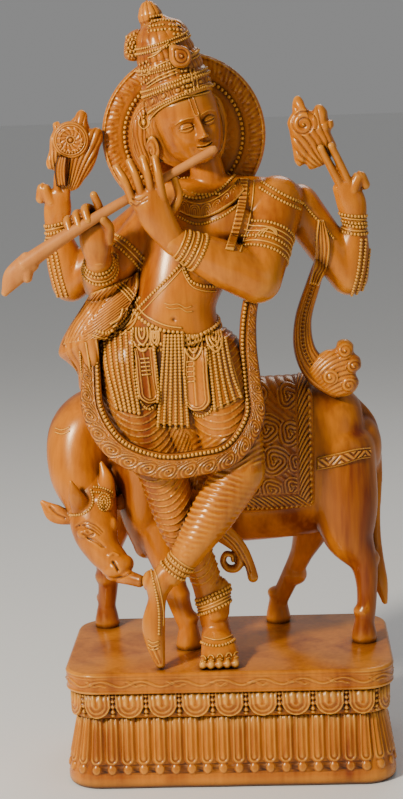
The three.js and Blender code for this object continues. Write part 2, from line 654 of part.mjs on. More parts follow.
// Necklaces, and the long chains across the chest
function neckJewels() {
  return [
    bangle([-4, -32, 556], [31, 28], 5, { turn: [22, -8, 0], sides: 20 }),
    bangle([0, -38, 543], [44, 36], 5, { turn: [30, -12, 0], sides: 20 }),
    bangle([2, -44, 530], [52, 36], 5, { turn: [36, -12, 0], sides: 20 }),
    lump([0, -78, 518], [26, 7, 13]),
    rod([[62, -50, 536], [38, -74, 504], [30, -80, 474], [30, -74, 448]], 6.5),
    rod([[-50, -90, 458], [-40, -90, 444], [-22, -88, 436], [-4, -78, 433]], 4),
    rod([[-52, -90, 458], [-80, -86, 436], [-106, -78, 406], [-132, -62, 384]], 4),
  ];
}

// The girdle with its hanging panels of bead ropes and its flat tongues
function skirtJewels() {
  const ROPE_RELIEF = 5;
  const panel = (spine, width, ropes) =>
    band(spine, spine.map(() => width), 10, {
      steps: 4,
      across: 2 * ropes,
      relief: (x) => (Math.round((x + 0.5) * 2 * ropes) % 2 ? ROPE_RELIEF : 0),
    });
  const tongue = (x, y, z) =>
    band([[x, y, z], [x + 6, y - 4, z - 34], [x + 10, y - 4, z - 62]], [26, 24, 14], 12);
  return [
    bangle([-52, -45, 392], [61, 49], 5, { turn: [14, -8, 0], sides: 24 }),
    bangle([-53, -46, 382], [63, 50], 5, { turn: [14, -8, 0], sides: 24 }),
    panel([[-114, -82, 376], [-112, -94, 344], [-106, -96, 308]], 40, 4),
    panel([[-62, -98, 382], [-56, -104, 336], [-48, -103, 292]], 36, 4),
    panel([[-2, -86, 368], [4, -96, 336], [8, -98, 304]], 30, 3),
    tongue(-92, -94, 376),
    tongue(-34, -98, 376),
    // the sash tied on the hip, its knot and its fan of cloth
    limb([[-124, -46, 420], [-150, -40, 390], [-152, -36, 340]], [[24, 20], [26, 22], [20, 18]]),
    limb([[-148, -22, 412], [-166, -20, 380], [-176, -18, 356]], [[20, 9], [20, 8], [12, 6]]),
    lump([-130, -66, 394], [22, 13, 20], { turn: [0, 30, 0] }),
  ];
}

// The long scarf hangs in a deep loop before the thighs, beaded along its inner edge and leafy along its
// outer one
function scarf() {
  const SPINE = [
    [56, -60, 462],
    [38, -60, 420],
    [33, -62, 375],
    [36, -74, 328],
    [38, -90, 292],
    [12, -103, 254],
    [-26, -109, 244],
    [-70, -109, 242],
    [-118, -102, 262],
    [-144, -86, 302],
    [-146, -72, 344],
    [-144, -54, 388],
  ];
  const WIDTHS = [18, 18, 20, 22, 25, 26, 27, 28, 29, 27, 22, 18];
  const STEPS = 66;
  const LEAF = 3; // how far a leaf and the row of beads stand out
  const edgeRelief = (x, share) => {
    if (x > 0.4) return 0;
    if (x > 0) return LEAF + 1;
    return Math.round(share * STEPS) % 3 ? LEAF : 0;
  };
  return [band(SPINE, WIDTHS, 9, { steps: STEPS, across: 3, relief: edgeRelief })];
}

// The scarf's two free ends: one blows out beside the hip, the other curls under the cow's belly
function ribbons() {
  return [
    band(
      [[126, 2, 470], [110, 2, 430], [97, 4, 386], [100, 6, 350], [118, 6, 324], [140, 6, 310]],
      [14, 16, 20, 26, 34, 36],
      12,
      { steps: 15, across: 2, relief: (x) => (x === 0 ? -2 : 0) },
    ),
    lump([145, 5, 344], [12, 9, 12]),
    lump([158, 5, 328], [10, 8, 12]),
    lump([150, 6, 306], [13, 9, 13]),
    limb([[-30, -44, 144], [6, -30, 132], [27, -26, 112], [32, -25, 90]], [[10, 9], [10, 8], 9, 8]),
    limb([[-24, -36, 146], [-6, -28, 128], [6, -26, 112]], [[10, 8], [9, 7], [8, 7]]),
    lump([3, -26, 108], [12, 8, 11]),
  ];
}

// The flute, a separate rod of paler wood with a carved end
const FLUTE = {
  spine: [[9, -92, 596], [-60, -101, 560], [-125, -114, 526], [-180, -119, 494], [-212, -120, 473]],
  girth: [5, 5, 6, 8, 10],
};

function fluteRod(grown) {
  return limb(FLUTE.spine, FLUTE.girth.map((radius) => radius + grown), { dome: 1 });
}

function flute() {
  const made = Manifold.union([
    fluteRod(0),
    limb([[-204, -120, 478], [-222, -120, 462], [-234, -120, 443]], [[12, 9], [12, 8], [5, 4]]),
    limb([[-208, -120, 470], [-208, -120, 460]], [[9, 8], [6, 6]]),
  ]);
  return thin(made, FLUTE_TRIANGLES, () => 1);
}

// How much more the detail at a place is worth than that of the plain body
function care({ y, z }) {
  const height = (z - PLINTH_HEIGHT) / UNIT;
  if (height > FINE_ABOVE || height < FINE_BELOW) return 6;
  return y / UNIT < FINE_BEFORE ? 4 : 1;
}

// The outer shell of a solid, without the small voids where its pieces overlap
function shell(made) {
  return made.decompose().reduce((widest, each) => (each.volume() > widest.volume() ? each : widest));
}

const body = [...legs(), ...torso(), ...arms(), ...head(), ...crown(), ...halo(), ...emblems()];
const dress = [...armJewels(), ...neckJewels(), ...skirtJewels(), ...scarf(), ...ribbons()];
const carving = thin(shell(Manifold.union([...cow(), ...body, ...dress])), CARVING_TRIANGLES, care);
const stand = thin(Manifold.union(plinth()), PLINTH_TRIANGLES, () => 1);
const block = shell(stand.add(carving).subtract(fluteRod(FLUTE_CLEARANCE / UNIT)));

function node(name, made, colour) {
  const mesh = made.getMesh();
  const geometry = new THREE.BufferGeometry();
  geometry.setAttribute("position", new THREE.BufferAttribute(mesh.vertProperties, mesh.numProp));
  geometry.setIndex(new THREE.BufferAttribute(mesh.triVerts, 1));
  geometry.computeVertexNormals();
  const material = new THREE.MeshStandardMaterial({ color: colour, roughness: 0.5, metalness: 0 });
  const object = new THREE.Mesh(geometry, material);
  object.name = name;
  return object;
}

const figure = new THREE.Group();
figure.add(node("carved_block", block, 0xb06a2c), node("flute", flute(), 0xc08a55));
export default figure;
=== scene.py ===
import math

import bmesh
import bpy
import numpy as np
from mathutils import Euler, Matrix, Vector
from mathutils.bvhtree import BVHTree


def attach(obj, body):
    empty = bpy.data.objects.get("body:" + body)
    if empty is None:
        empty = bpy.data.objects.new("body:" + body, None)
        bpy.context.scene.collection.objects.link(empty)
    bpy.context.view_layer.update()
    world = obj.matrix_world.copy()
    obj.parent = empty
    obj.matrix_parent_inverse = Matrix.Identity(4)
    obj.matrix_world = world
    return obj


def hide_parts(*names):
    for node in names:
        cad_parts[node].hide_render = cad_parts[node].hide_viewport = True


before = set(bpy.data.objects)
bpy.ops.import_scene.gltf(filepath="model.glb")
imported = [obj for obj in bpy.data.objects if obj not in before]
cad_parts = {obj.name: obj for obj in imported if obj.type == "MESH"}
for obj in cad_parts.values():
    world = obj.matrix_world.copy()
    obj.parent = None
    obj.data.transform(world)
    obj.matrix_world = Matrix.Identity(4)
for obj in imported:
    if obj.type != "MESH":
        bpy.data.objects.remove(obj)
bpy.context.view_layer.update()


# The camera stands a little to the viewer's right and looks down at the figure from a bit over two metres,
# as in the photograph. Its place and turn come from the plinth's corners and the figure's upright.
PHOTO_WIDTH, PHOTO_HEIGHT = 403, 799
FOCAL = 1883.3  # in pixels of the photograph
SENSOR = 36.0
CAMERA_PLACE = Vector((0.0721, -2.1887, 0.8054))
LOOKS_DOWN, LOOKS_LEFT, LEANS = math.radians(9.553), math.radians(2.536), math.radians(-1.98)

level_right = Vector((math.cos(LOOKS_LEFT), math.sin(LOOKS_LEFT), 0))
level_ahead = Vector((-math.sin(LOOKS_LEFT), math.cos(LOOKS_LEFT), 0))
camera_ahead = level_ahead * math.cos(LOOKS_DOWN) - Vector((0, 0, 1)) * math.sin(LOOKS_DOWN)
upright = level_ahead * math.sin(LOOKS_DOWN) + Vector((0, 0, 1)) * math.cos(LOOKS_DOWN)
camera_right = level_right * math.cos(LEANS) + upright * math.sin(LEANS)
camera_up = upright * math.cos(LEANS) - level_right * math.sin(LEANS)


def set_down(thing):
    """Puts a thing into the scene."""
    bpy.context.scene.collection.objects.link(thing)


def fill_in(node, **values):
    """Sets a node's inputs, each by its name with _ for a space."""
    for name, value in values.items():
        node.inputs[name.replace("_", " ")].default_value = value


camera = bpy.data.objects.new("camera", bpy.data.cameras.new("camera"))
camera.data.sensor_width = SENSOR
camera.data.lens = SENSOR * FOCAL / PHOTO_HEIGHT
camera.data.clip_end = 100
camera.matrix_world = Matrix((camera_right, camera_up, -camera_ahead)).transposed().to_4x4()
camera.matrix_world.translation = CAMERA_PLACE
set_down(camera)
bpy.context.scene.camera = camera


# The floor is a plain pale sheet under the plinth's foot, and three soft lamps stand round the figure: the
# main one at the viewer's left, a weaker one at the right and one above and behind.
floor_mesh = bpy.data.meshes.new("floor")
floor_form = bmesh.new()
bmesh.ops.create_grid(floor_form, x_segments=1, y_segments=1, size=40)
floor_form.to_mesh(floor_mesh)
floor_form.free()
floor = bpy.data.objects.new("floor", floor_mesh)
set_down(floor)
pale_floor = bpy.data.materials.new("pale_floor")
pale_floor.use_nodes = True
fill_in(pale_floor.node_tree.nodes["Principled BSDF"], Base_Color=(0.9, 0.9, 0.89, 1), Roughness=0.9)
floor_mesh.materials.append(pale_floor)


def soft_lamp(name, place, aim, size, watts, colour):
    lamp = bpy.data.lights.new(name, "AREA")
    lamp.shape = "DISK"
    lamp.size = size
    lamp.energy = watts
    lamp.color = colour
    stand = bpy.data.objects.new(name, lamp)
    stand.location = place
    stand.rotation_euler = (Vector(aim) - Vector(place)).to_track_quat("-Z", "Y").to_euler()
    set_down(stand)


soft_lamp("main_lamp", (-1.5, -1.7, 1.7), (0, 0, 0.45), 0.36, 84, (1, 0.92, 0.78))
soft_lamp("side_lamp", (1.9, -1.5, 1.0), (0, 0, 0.45), 1.2, 2, (1, 0.97, 0.92))
soft_lamp("back_lamp", (0.4, 1.6, 2.0), (0, 0, 0.6), 1.0, 8, (1, 1, 1))
studio = bpy.data.worlds.new("studio")
studio.use_nodes = True
fill_in(studio.node_tree.nodes["Background"], Color=(1, 1, 1, 1), Strength=0.26)
bpy.context.scene.world = studio


# The wood: a warm brown timber with its grain upright, darker bands where the heartwood runs, and fine pores.
# Painted shade darkens its hollows and creases, and its high, pointed places are painted lighter, as wear
# with a painted highlight. It is sanded and polished, so the high places are smoother than the low ones. The
# flute has the same look in a paler, matter timber.
def wood_look():
    group = bpy.data.node_groups.new("timber", "ShaderNodeTree")
    face = group.interface
    for name, kind, value in [
        ("Pale wood", "NodeSocketColor", (0.6, 0.27, 0.07, 1)),
        ("Dark wood", "NodeSocketColor", (0.25, 0.07, 0.015, 1)),
        ("Hollow stain", "NodeSocketColor", (0.16, 0.03, 0.006, 1)),
        ("Rubbed wood", "NodeSocketColor", (0.9, 0.4, 0.08, 1)),
        ("Banding", "NodeSocketFloat", 0.5),
        ("Stain strength", "NodeSocketFloat", 0.8),
        ("Smoothness", "NodeSocketFloat", 0.5),
    ]:
        socket = face.new_socket(name, in_out="INPUT", socket_type=kind)
        socket.default_value = value
    face.new_socket("Colour", in_out="OUTPUT", socket_type="NodeSocketColor")
    face.new_socket("Roughness", in_out="OUTPUT", socket_type="NodeSocketFloat")
    face.new_socket("Pores", in_out="OUTPUT", socket_type="NodeSocketFloat")
    nodes, links = group.nodes, group.links
    given = nodes.new("NodeGroupInput")
    made = nodes.new("NodeGroupOutput")

    def node(kind, settings=(), **values):
        """A new node; a value under a socket's name, or under _ and its number, is set or linked there."""
        added = nodes.new(kind)
        for name, value in settings:
            setattr(added, name, value)
        for name, value in values.items():
            socket = added.inputs[int(name[1:])] if name[0] == "_" else added.inputs[name.replace("_", " ")]
            if isinstance(value, bpy.types.NodeSocket):
                links.new(value, socket)
            else:
                socket.default_value = value
        return added

    def maths(operation, *values):
        numbered = {f"_{i}": value for i, value in enumerate(values)}
        return node("ShaderNodeMath", [("operation", operation)], **numbered).outputs[0]

    def coat(share, under, over):
        mixed = node("ShaderNodeMix", [("data_type", "RGBA")], _0=share)
        links.new(under, mixed.inputs[6])
        links.new(over, mixed.inputs[7])
        return mixed.outputs[2]

    where = nodes.new("ShaderNodeTexCoord").outputs["Object"]
    along = node("ShaderNodeMapping", Vector=where, Scale=(1, 1, 0.09), Rotation=(0.05, 0.07, 0)).outputs[0]
    bands = node("ShaderNodeTexNoise", Vector=along, Scale=19, Detail=3, Roughness=0.55, Distortion=0.6)
    band = node("ShaderNodeMapRange", _0=bands.outputs["Fac"], _1=0.44, _2=0.74)
    banding = maths("MULTIPLY", band.outputs[0], given.outputs["Banding"])
    streaks = node("ShaderNodeTexNoise", Vector=along, Scale=170, Detail=2, Roughness=0.5)
    streak = node("ShaderNodeMapRange", _0=streaks.outputs["Fac"], _1=0.35, _2=0.75, _3=0, _4=0.3)
    darkness = maths("ADD", banding, streak.outputs[0])
    darkness.node.use_clamp = True
    timber = coat(darkness, given.outputs["Pale wood"], given.outputs["Dark wood"])
    pores = node("ShaderNodeTexNoise", Vector=along, Scale=900, Detail=1)
    pointed = nodes.new("ShaderNodeNewGeometry").outputs["Pointiness"]
    # Wear and painted highlight: the high, pointed places are painted lighter, towards a pale cream colour.
    high = node("ShaderNodeMapRange", _0=pointed, _1=0.505, _2=0.56, _4=0.7)
    worn_and_highlit = coat(high.outputs[0], timber, given.outputs["Rubbed wood"])
    # Painted shade: the hollows, found by ambient occlusion, and the creases, where pointiness is low
    # (ridge), are darkened (low) towards the painted hollow shade colour.
    shelter = node("ShaderNodeAmbientOcclusion", [("samples", 6)], Distance=0.011)
    hollow = node("ShaderNodeMapRange", _0=shelter.outputs["AO"], _1=0.95, _2=0.3)
    ridge = node("ShaderNodeMapRange", _0=pointed, _1=0.495, _2=0.44)
    low = maths("MAXIMUM", hollow.outputs[0], ridge.outputs[0])
    painted_shade = maths("MULTIPLY", low, given.outputs["Stain strength"])
    links.new(coat(painted_shade, worn_and_highlit, given.outputs["Hollow stain"]), made.inputs["Colour"])
    links.new(maths("MULTIPLY_ADD", low, 0.25, given.outputs["Smoothness"]), made.inputs["Roughness"])
    links.new(pores.outputs["Fac"], made.inputs["Pores"])
    return group


def wood_finish(name, pore_depth, polish, **values):
    """A polished wood: its pores' depth, the strength of its shine, and its values of the timber's look."""
    material = bpy.data.materials.new(name)
    material.use_nodes = True
    nodes, links = material.node_tree.nodes, material.node_tree.links
    shader = nodes["Principled BSDF"]
    fill_in(shader, Specular_Tint=(1, 0.8, 0.5, 1), Specular_IOR_Level=polish)
    fill_in(shader, Coat_Weight=polish * 0.22, Coat_Roughness=0.2)
    look = nodes.new("ShaderNodeGroup")
    look.node_tree = bpy.data.node_groups.get("timber") or wood_look()
    fill_in(look, **values)
    bump = nodes.new("ShaderNodeBump")
    fill_in(bump, Strength=0.25, Distance=pore_depth)
    links.new(look.outputs["Colour"], shader.inputs["Base Color"])
    links.new(look.outputs["Roughness"], shader.inputs["Roughness"])
    links.new(look.outputs["Pores"], bump.inputs["Height"])
    links.new(bump.outputs["Normal"], shader.inputs["Normal"])
    return material


# Its hollow colour is painted shade, and its rubbed colour is wear with a painted highlight.
brown_wood = wood_finish(
    "brown_wood", 0.0002, 0.62,
    Pale_wood=(0.63, 0.185, 0.004, 1), Dark_wood=(0.22, 0.03, 0.001, 1), Rubbed_wood=(0.97, 0.46, 0.06, 1),
    Hollow_stain=(0.035, 0.0025, 0.0002, 1), Banding=0.8, Stain_strength=1.0, Smoothness=0.27,
)


# Every piece of the block is finished the same way: smooth, brown and cut from the one block of the model.
MM = 0.001
PLINTH_TOP = 139  # in millimetres above the underside
LIFT = np.array((0.0, 0.0, PLINTH_TOP))  # from the figure's own heights above the slab to the world's


def thinned(mesh, keep):
    """The same skin with fewer and larger faces where it is smooth."""
    name = mesh.name
    rough = bpy.data.objects.new(name, mesh)
    set_down(rough)
    rough.modifiers.new("fewer", "DECIMATE").ratio = keep
    finished = rough.evaluated_get(bpy.context.evaluated_depsgraph_get())
    thin = bpy.data.meshes.new_from_object(finished)
    bpy.data.objects.remove(rough)
    bpy.data.meshes.remove(mesh)
    thin.name = name
    return thin


def place_mesh(name, mesh, keep=1.0, finish=brown_wood, stands_for="carved_block"):
    if keep < 1:
        mesh = thinned(mesh, keep)
    mesh.polygons.foreach_set("use_smooth", [True] * len(mesh.polygons))
    mesh.materials.clear()
    mesh.materials.append(finish)
    piece = bpy.data.objects.new(name, mesh)
    set_down(piece)
    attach(piece, "root")
    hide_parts(stands_for)


def closed_mesh(name, form):
    bmesh.ops.remove_doubles(form, verts=form.verts, dist=0.01 * MM)
    bmesh.ops.dissolve_degenerate(form, edges=form.edges, dist=0.001 * MM)
    bmesh.ops.recalc_face_normals(form, faces=form.faces)
    mesh = bpy.data.meshes.new(name)
    form.to_mesh(mesh)
    form.free()
    return mesh


def wrapped(name, columns, rows, lay):
    """A grid laid round a form by its two shares, its sides joined and its ends closed."""
    form = bmesh.new()
    bmesh.ops.create_grid(form, x_segments=columns, y_segments=rows, size=0.5)
    mesh = bpy.data.meshes.new(name)
    form.to_mesh(mesh)
    form.free()
    flat = np.empty(3 * len(mesh.vertices))
    mesh.vertices.foreach_get("co", flat)
    shares = flat.reshape(-1, 3) + 0.5
    placed = np.stack(lay(shares[:, 0], shares[:, 1]), axis=1) * MM
    mesh.vertices.foreach_set("co", placed.ravel())
    form = bmesh.new()
    form.from_mesh(mesh)
    bpy.data.meshes.remove(mesh)
    return closed_mesh(name, form)


def place_wrapped(name, columns, rows, lay, keep):
    place_mesh(name, wrapped(name, columns, rows, lay), keep)


# The plinth, cut with the figure from one block: a plain foot band, a sloping tier of long petals with round
# tips, a tier of hanging pendants with bead tassels between them, and a slab with a fine vine along its edge.
SLAB_WIDTH, SLAB_DEPTH, SLAB_CORNER = 380, 230, 38
FOOT_BAND, PETAL_TOP, PENDANT_TOP = 17, 83, 114
PETAL_PITCH, PENDANT_PITCH = 18.3, 38.6


def plinth_edge(share, inset):
    """Places round the plinth, starting at the middle of its back, moved inwards by the inset."""
    straight_x, straight_y = SLAB_WIDTH - 2 * SLAB_CORNER, SLAB_DEPTH - 2 * SLAB_CORNER
    arc = math.pi / 2 * SLAB_CORNER
    lengths = [straight_x / 2, arc, straight_y, arc, straight_x, arc, straight_y, arc, straight_x / 2]
    ends = np.cumsum(lengths)
    gone = np.clip(share, 0, 1) * ends[-1]
    part = np.clip(np.searchsorted(ends, gone), 0, 8)
    into = gone - np.concatenate([[0], ends])[part]
    corner = part % 2 == 1
    turn = np.where(corner, into / arc, 0) + part // 2
    angle = (turn + 1) * math.pi / 2
    out_x, out_y = np.cos(angle), np.sin(angle)
    half_x, half_y = straight_x / 2, straight_y / 2
    sides = [part // 2 % 4 == side for side in range(4)]
    x = np.select(sides, [-into, -half_x, into - half_x, half_x])
    y = np.select(sides, [half_y, half_y - into, -half_y, into - half_y])
    x, y = np.where(part == 8, half_x - into, x), np.where(part == 8, half_y, y)
    x = np.where(corner, np.select(sides, [-half_x, -half_x, half_x, half_x]), x)
    y = np.where(corner, np.select(sides, [half_y, -half_y, -half_y, half_y]), y)
    reach = np.maximum(SLAB_CORNER - inset, 0)
    past = np.minimum(SLAB_CORNER - inset, 0)
    shrink_x = np.maximum(0, 1 + past / half_x)
    shrink_y = np.maximum(0, 1 + past / half_y)
    return x * shrink_x + out_x * reach, y * shrink_y + out_y * reach, ends[-1]


def bump_at(distance, width):
    return np.exp(-((distance / width) ** 2))


def ripple(phase, power=1):
    """Ridges side by side from 0 to 1; the lower the power, the broader they are."""
    return np.abs(np.sin(phase)) ** power


def rounded(share):
    """How high a round form stands; the share of the way out to its edge is given as a power."""
    return np.sqrt(np.clip(1 - share, 0, 1))


def smooth_step(value, low, high):
    share = np.clip((value - low) / (high - low), 0, 1)
    return share * share * (3 - 2 * share)


def tier(name, columns, levels, relief):
    """One tier: levels are rows of height and inset, and relief stands out of the tier's wall."""
    heights, insets = np.array(levels, dtype=float).T
    centre_inset = SLAB_DEPTH / 2

    def lay(around, up):
        row = up * (len(heights) + 1) - 1
        height = np.interp(row, range(len(heights)), heights)
        inset = np.interp(row, range(len(heights)), insets)
        length = plinth_edge(np.zeros(1), 0)[2]
        inside = (row < -0.5) | (row > len(heights) - 0.5)
        inset = np.where(inside, centre_inset, inset - relief(around * length, height, length))
        x, y, _ = plinth_edge(around, inset)
        return np.where(inside, 0, x), np.where(inside, 0, y), height

    place_wrapped(name, columns, len(heights) + 1, lay, 0.5)


def petal_relief(along, height, length):
    count = round(length / PETAL_PITCH)
    pitch = length / count
    across = ((along / pitch + 0.02 * np.sin(along / 31) + 0.5) % 1 - 0.5) * pitch
    tip = 30
    away = np.hypot(across, np.maximum(0, tip + 6 - height))
    edge = pitch * 0.46
    body = 2.6 * rounded((away / edge) ** 2)
    lines = 0.9 * bump_at(away - 0.66 * edge, 0.7) + 0.9 * bump_at(away, 0.9)
    lines = lines - 0.8 * bump_at(away - 0.4 * edge, 0.8)
    knob_reach = np.hypot(across, (height - 24) * 0.9) / 5.4
    knob = 3.0 * rounded(knob_reach**2)
    petal = np.where(height > 26, body + lines * smooth_step(height, 24, 30), body * 0.6)
    return np.where(height > FOOT_BAND, np.maximum(petal, knob) - 0.6, 0.25 * np.sin(along / 17))


def pendant_relief(along, height, length):
    count = round(length / PENDANT_PITCH)
    pitch = length / count
    across = ((along / pitch + 0.5) % 1 - 0.5) * pitch
    half = pitch * 0.43
    away = half - np.hypot(across, np.maximum(0, PETAL_TOP + 1 + half - height))
    plate = 4.2 * smooth_step(away, -0.6, 0.6)
    rims = 1.1 * bump_at(away - 1.2, 0.9) + 1.3 * bump_at(away - 6, 1.0) + 1.6 * bump_at(away - 12.5, 2.2)
    beside = pitch / 2 - abs(across)
    bead = PENDANT_TOP - 3.5 - 6.3 * np.round((PENDANT_TOP - 3.5 - height) / 6.3)
    bead = np.clip(bead, PETAL_TOP + 5, PENDANT_TOP)
    tassel = np.sqrt(np.clip(3.1**2 - beside**2 - (height - bead) ** 2, 0, None))
    return np.maximum(plate + rims * (away > -1), tassel * 1.5)


def slab_relief(along, height, length):
    middle = (PENDANT_TOP + PLINTH_TOP) / 2
    lines = 1.3 * bump_at(height - PLINTH_TOP + 3.0, 0.8) + 1.3 * bump_at(height - PENDANT_TOP - 2.6, 0.8)
    lines = lines + 1.0 * bump_at(height - PLINTH_TOP + 6.0, 0.7)
    wave = 3.4 * np.sin(along / 7.4)
    vine = 1.3 * bump_at(height - middle - wave, 0.9)
    leaf = 1.2 * bump_at(height - middle + 0.8 * wave - 1.5 * np.sin(along / 2.6), 0.8)
    return lines + vine + leaf * (np.sin(along / 7.4 + 0.7) > 0)


def petal_slope(height):
    return height, -2 + 15 * ((height - FOOT_BAND) / (PETAL_TOP - FOOT_BAND)) ** 0.9


foot = [(0, 4), (0.6, 1.6), (2, 0), (5, -1.6), (9, -2), (13, -2), (FOOT_BAND, -1.8)]
knob_heights, petal_heights = np.linspace(FOOT_BAND + 0.8, 38, 20), np.linspace(41, PETAL_TOP + 2, 14)
petals = [petal_slope(height) for height in (*knob_heights, *petal_heights)]
pendants = [(height, 8.6) for height in np.linspace(PETAL_TOP + 0.5, PENDANT_TOP + 0.5, 30)]
slab_foot = [(PENDANT_TOP, 3), (PENDANT_TOP + 0.4, 0.8), (PENDANT_TOP + 1.2, 0)]
slab_side = [(height, 0) for height in np.linspace(PENDANT_TOP + 2, PLINTH_TOP - 2, 20)]
slab_edge = [(PLINTH_TOP - 1.2, 0.3), (PLINTH_TOP - 0.4, 1.2), (PLINTH_TOP, 3)]
tier("petal_tier", 1190, foot + petals, petal_relief)
tier("pendant_tier", 960, pendants, pendant_relief)
tier("slab", 620, slab_foot + slab_side + slab_edge, slab_relief)


# The figure and the cow are cut from round masses: limbs that taper along a line, and oval lumps. The masses
# are run together, cut to one skin and rubbed smooth, as a carver does before the fine work.
FRONT, UP, RIGHT = np.array((0.0, -1, 0)), np.array((0.0, 0, 1)), np.array((1.0, 0, 0))


def on_line(points, share):
    """A place on the smooth line through the points."""
    last = len(points) - 1
    index = min(int(share * last), last - 1)
    t = share * last - index
    p1, p2 = points[index], points[index + 1]
    p0 = points[index - 1] if index else 2 * p1 - p2
    p3 = points[index + 2] if index + 2 <= last else 2 * p2 - p1
    gaps = [max(float(np.linalg.norm(b - a)), 1e-4) ** 0.5 for a, b in ((p0, p1), (p1, p2), (p2, p3))]
    start = ((p1 - p0) / gaps[0] - (p2 - p0) / (gaps[0] + gaps[1])) * gaps[1] + (p2 - p1)
    finish = ((p3 - p2) / gaps[2] - (p3 - p1) / (gaps[1] + gaps[2])) * gaps[1] + (p2 - p1)
    cubic = (2 * t**3 - 3 * t**2 + 1) * p1 + (t**3 - 2 * t**2 + t) * start
    return cubic + (3 * t**2 - 2 * t**3) * p2 + (t**3 - t**2) * finish


def stations(spine, count, facing=FRONT):
    """Places along a smooth line, each with its direction, its outer side and its cross direction."""
    points = [np.array(p, dtype=float) for p in spine]
    found = []
    for share in np.linspace(0, 1, count):
        ahead = on_line(points, min(share + 0.004, 1)) - on_line(points, max(share - 0.004, 0))
        ahead /= np.linalg.norm(ahead)
        out = facing - ahead * facing.dot(ahead)
        out /= np.linalg.norm(out)
        found.append((on_line(points, share), ahead, out, np.cross(ahead, out)))
    return found


def sizes_along(sizes, count):
    """Widths and depths along a smooth line; a size that is one number is both."""
    pairs = [np.broadcast_to(np.array(size, dtype=float), 2) for size in sizes]
    return [on_line(pairs, share) for share in np.linspace(0, 1, count)]


def add_limb(form, spine, girth, facing=FRONT, sides=28, steps=None, dome=5):
    steps = steps or 8 * (len(spine) - 1)
    rings = steps + 2 * dome
    line = stations(spine, steps + 1, facing)
    girths = sizes_along(girth, steps + 1)
    ball = bmesh.ops.create_uvsphere(form, u_segments=sides, v_segments=rings, radius=1)
    for vert in ball["verts"]:
        ring = round(math.acos(max(-1, min(1, vert.co.z))) / math.pi * rings)
        station = min(max(ring - dome, 0), steps)
        past = max(0, dome - ring, ring - dome - steps) / dome
        swell, reach = math.cos(past * math.pi / 2), math.sin(past * math.pi / 2) * (-1 if ring < dome else 1)
        wide = math.hypot(vert.co.x, vert.co.y) or 1
        centre, ahead, out, side = line[station]
        width, depth = girths[station]
        place = centre + ahead * reach * min(width, depth)
        place = place + side * (vert.co.x / wide) * swell * width + out * (vert.co.y / wide) * swell * depth
        vert.co = place * MM + LIFT * MM


def add_limbs(form, limbs, **settings):
    for spine, girth in limbs:
        add_limb(form, spine, girth, **settings)


def turned(turn):
    """The matrix of a turn by angles in degrees about X, Y and Z."""
    return Euler([math.radians(angle) for angle in turn]).to_matrix()


def add_lump(form, centre, size, turn=(0, 0, 0)):
    place = Vector(centre) * MM + Vector(LIFT * MM)
    matrix = Matrix.Translation(place) @ turned(turn).to_4x4() @ Matrix.Diagonal((*(s * MM for s in size), 1))
    bmesh.ops.create_icosphere(form, subdivisions=3, radius=1, matrix=matrix)


def carved(name, form, voxel, rubs):
    """One smooth skin round all the masses of a form."""
    rough = bpy.data.objects.new(name, closed_mesh(name, form))
    set_down(rough)
    skin = rough.modifiers.new("skin", "REMESH")
    skin.mode = "VOXEL"
    skin.voxel_size = voxel * MM
    rub = rough.modifiers.new("rub", "SMOOTH")
    rub.factor = 0.5
    rub.iterations = rubs
    finished = rough.evaluated_get(bpy.context.evaluated_depsgraph_get())
    mesh = bpy.data.meshes.new_from_object(finished)
    bpy.data.objects.remove(rough)
    mesh.name = name
    return mesh


def vertices_of(mesh):
    """The places of a mesh's corners in the figure's own millimetres, and the directions they face."""
    places = np.empty(3 * len(mesh.vertices))
    facing = np.empty(3 * len(mesh.vertices))
    mesh.vertices.foreach_get("co", places)
    mesh.vertices.foreach_get("normal", facing)
    return places.reshape(-1, 3) / MM - LIFT, facing.reshape(-1, 3)


def raise_by(mesh, height):
    """Raises or sinks a mesh's skin, by a height worked out from each corner's place and facing."""
    places, facing = vertices_of(mesh)
    moved = places + facing * height(places, facing)[:, None] + LIFT
    mesh.vertices.foreach_set("co", (moved * MM).ravel())
    mesh.update()


def in_pixels(places):
    """Where places in the figure's millimetres lie in the photograph."""
    away = (places + LIFT) * MM - np.array(CAMERA_PLACE)
    ahead = away @ np.array(camera_ahead)
    across = PHOTO_WIDTH / 2 + FOCAL * (away @ np.array(camera_right)) / ahead
    return np.stack([across, PHOTO_HEIGHT / 2 - FOCAL * (away @ np.array(camera_up)) / ahead], axis=1)


def sink_lines(mesh, paths, depth, width):
    """Sinks lines, drawn through photo pixels, into the side of a mesh that the camera sees."""
    def groove(places, facing):
        pixels = in_pixels(places)
        nearest = np.full(len(places), 1e9)
        for path in paths:
            points = [np.array(pixel, dtype=float) for pixel in path]
            for share in np.linspace(0, 1, 12 * len(path)):
                nearest = np.minimum(nearest, np.linalg.norm(pixels - on_line(points, share), axis=1))
        return -bump_at(nearest, width) * depth * (facing[:, 1] < -0.1)

    raise_by(mesh, groove)


def shifted(path, across, down):
    return [(px + across, py + down) for px, py in path]


def between(first, last, count):
    """A number of paths that change evenly from the first to the last."""
    first, last = np.array(first, dtype=float), np.array(last, dtype=float)
    return [first + (last - first) * share for share in np.linspace(0, 1, count)]


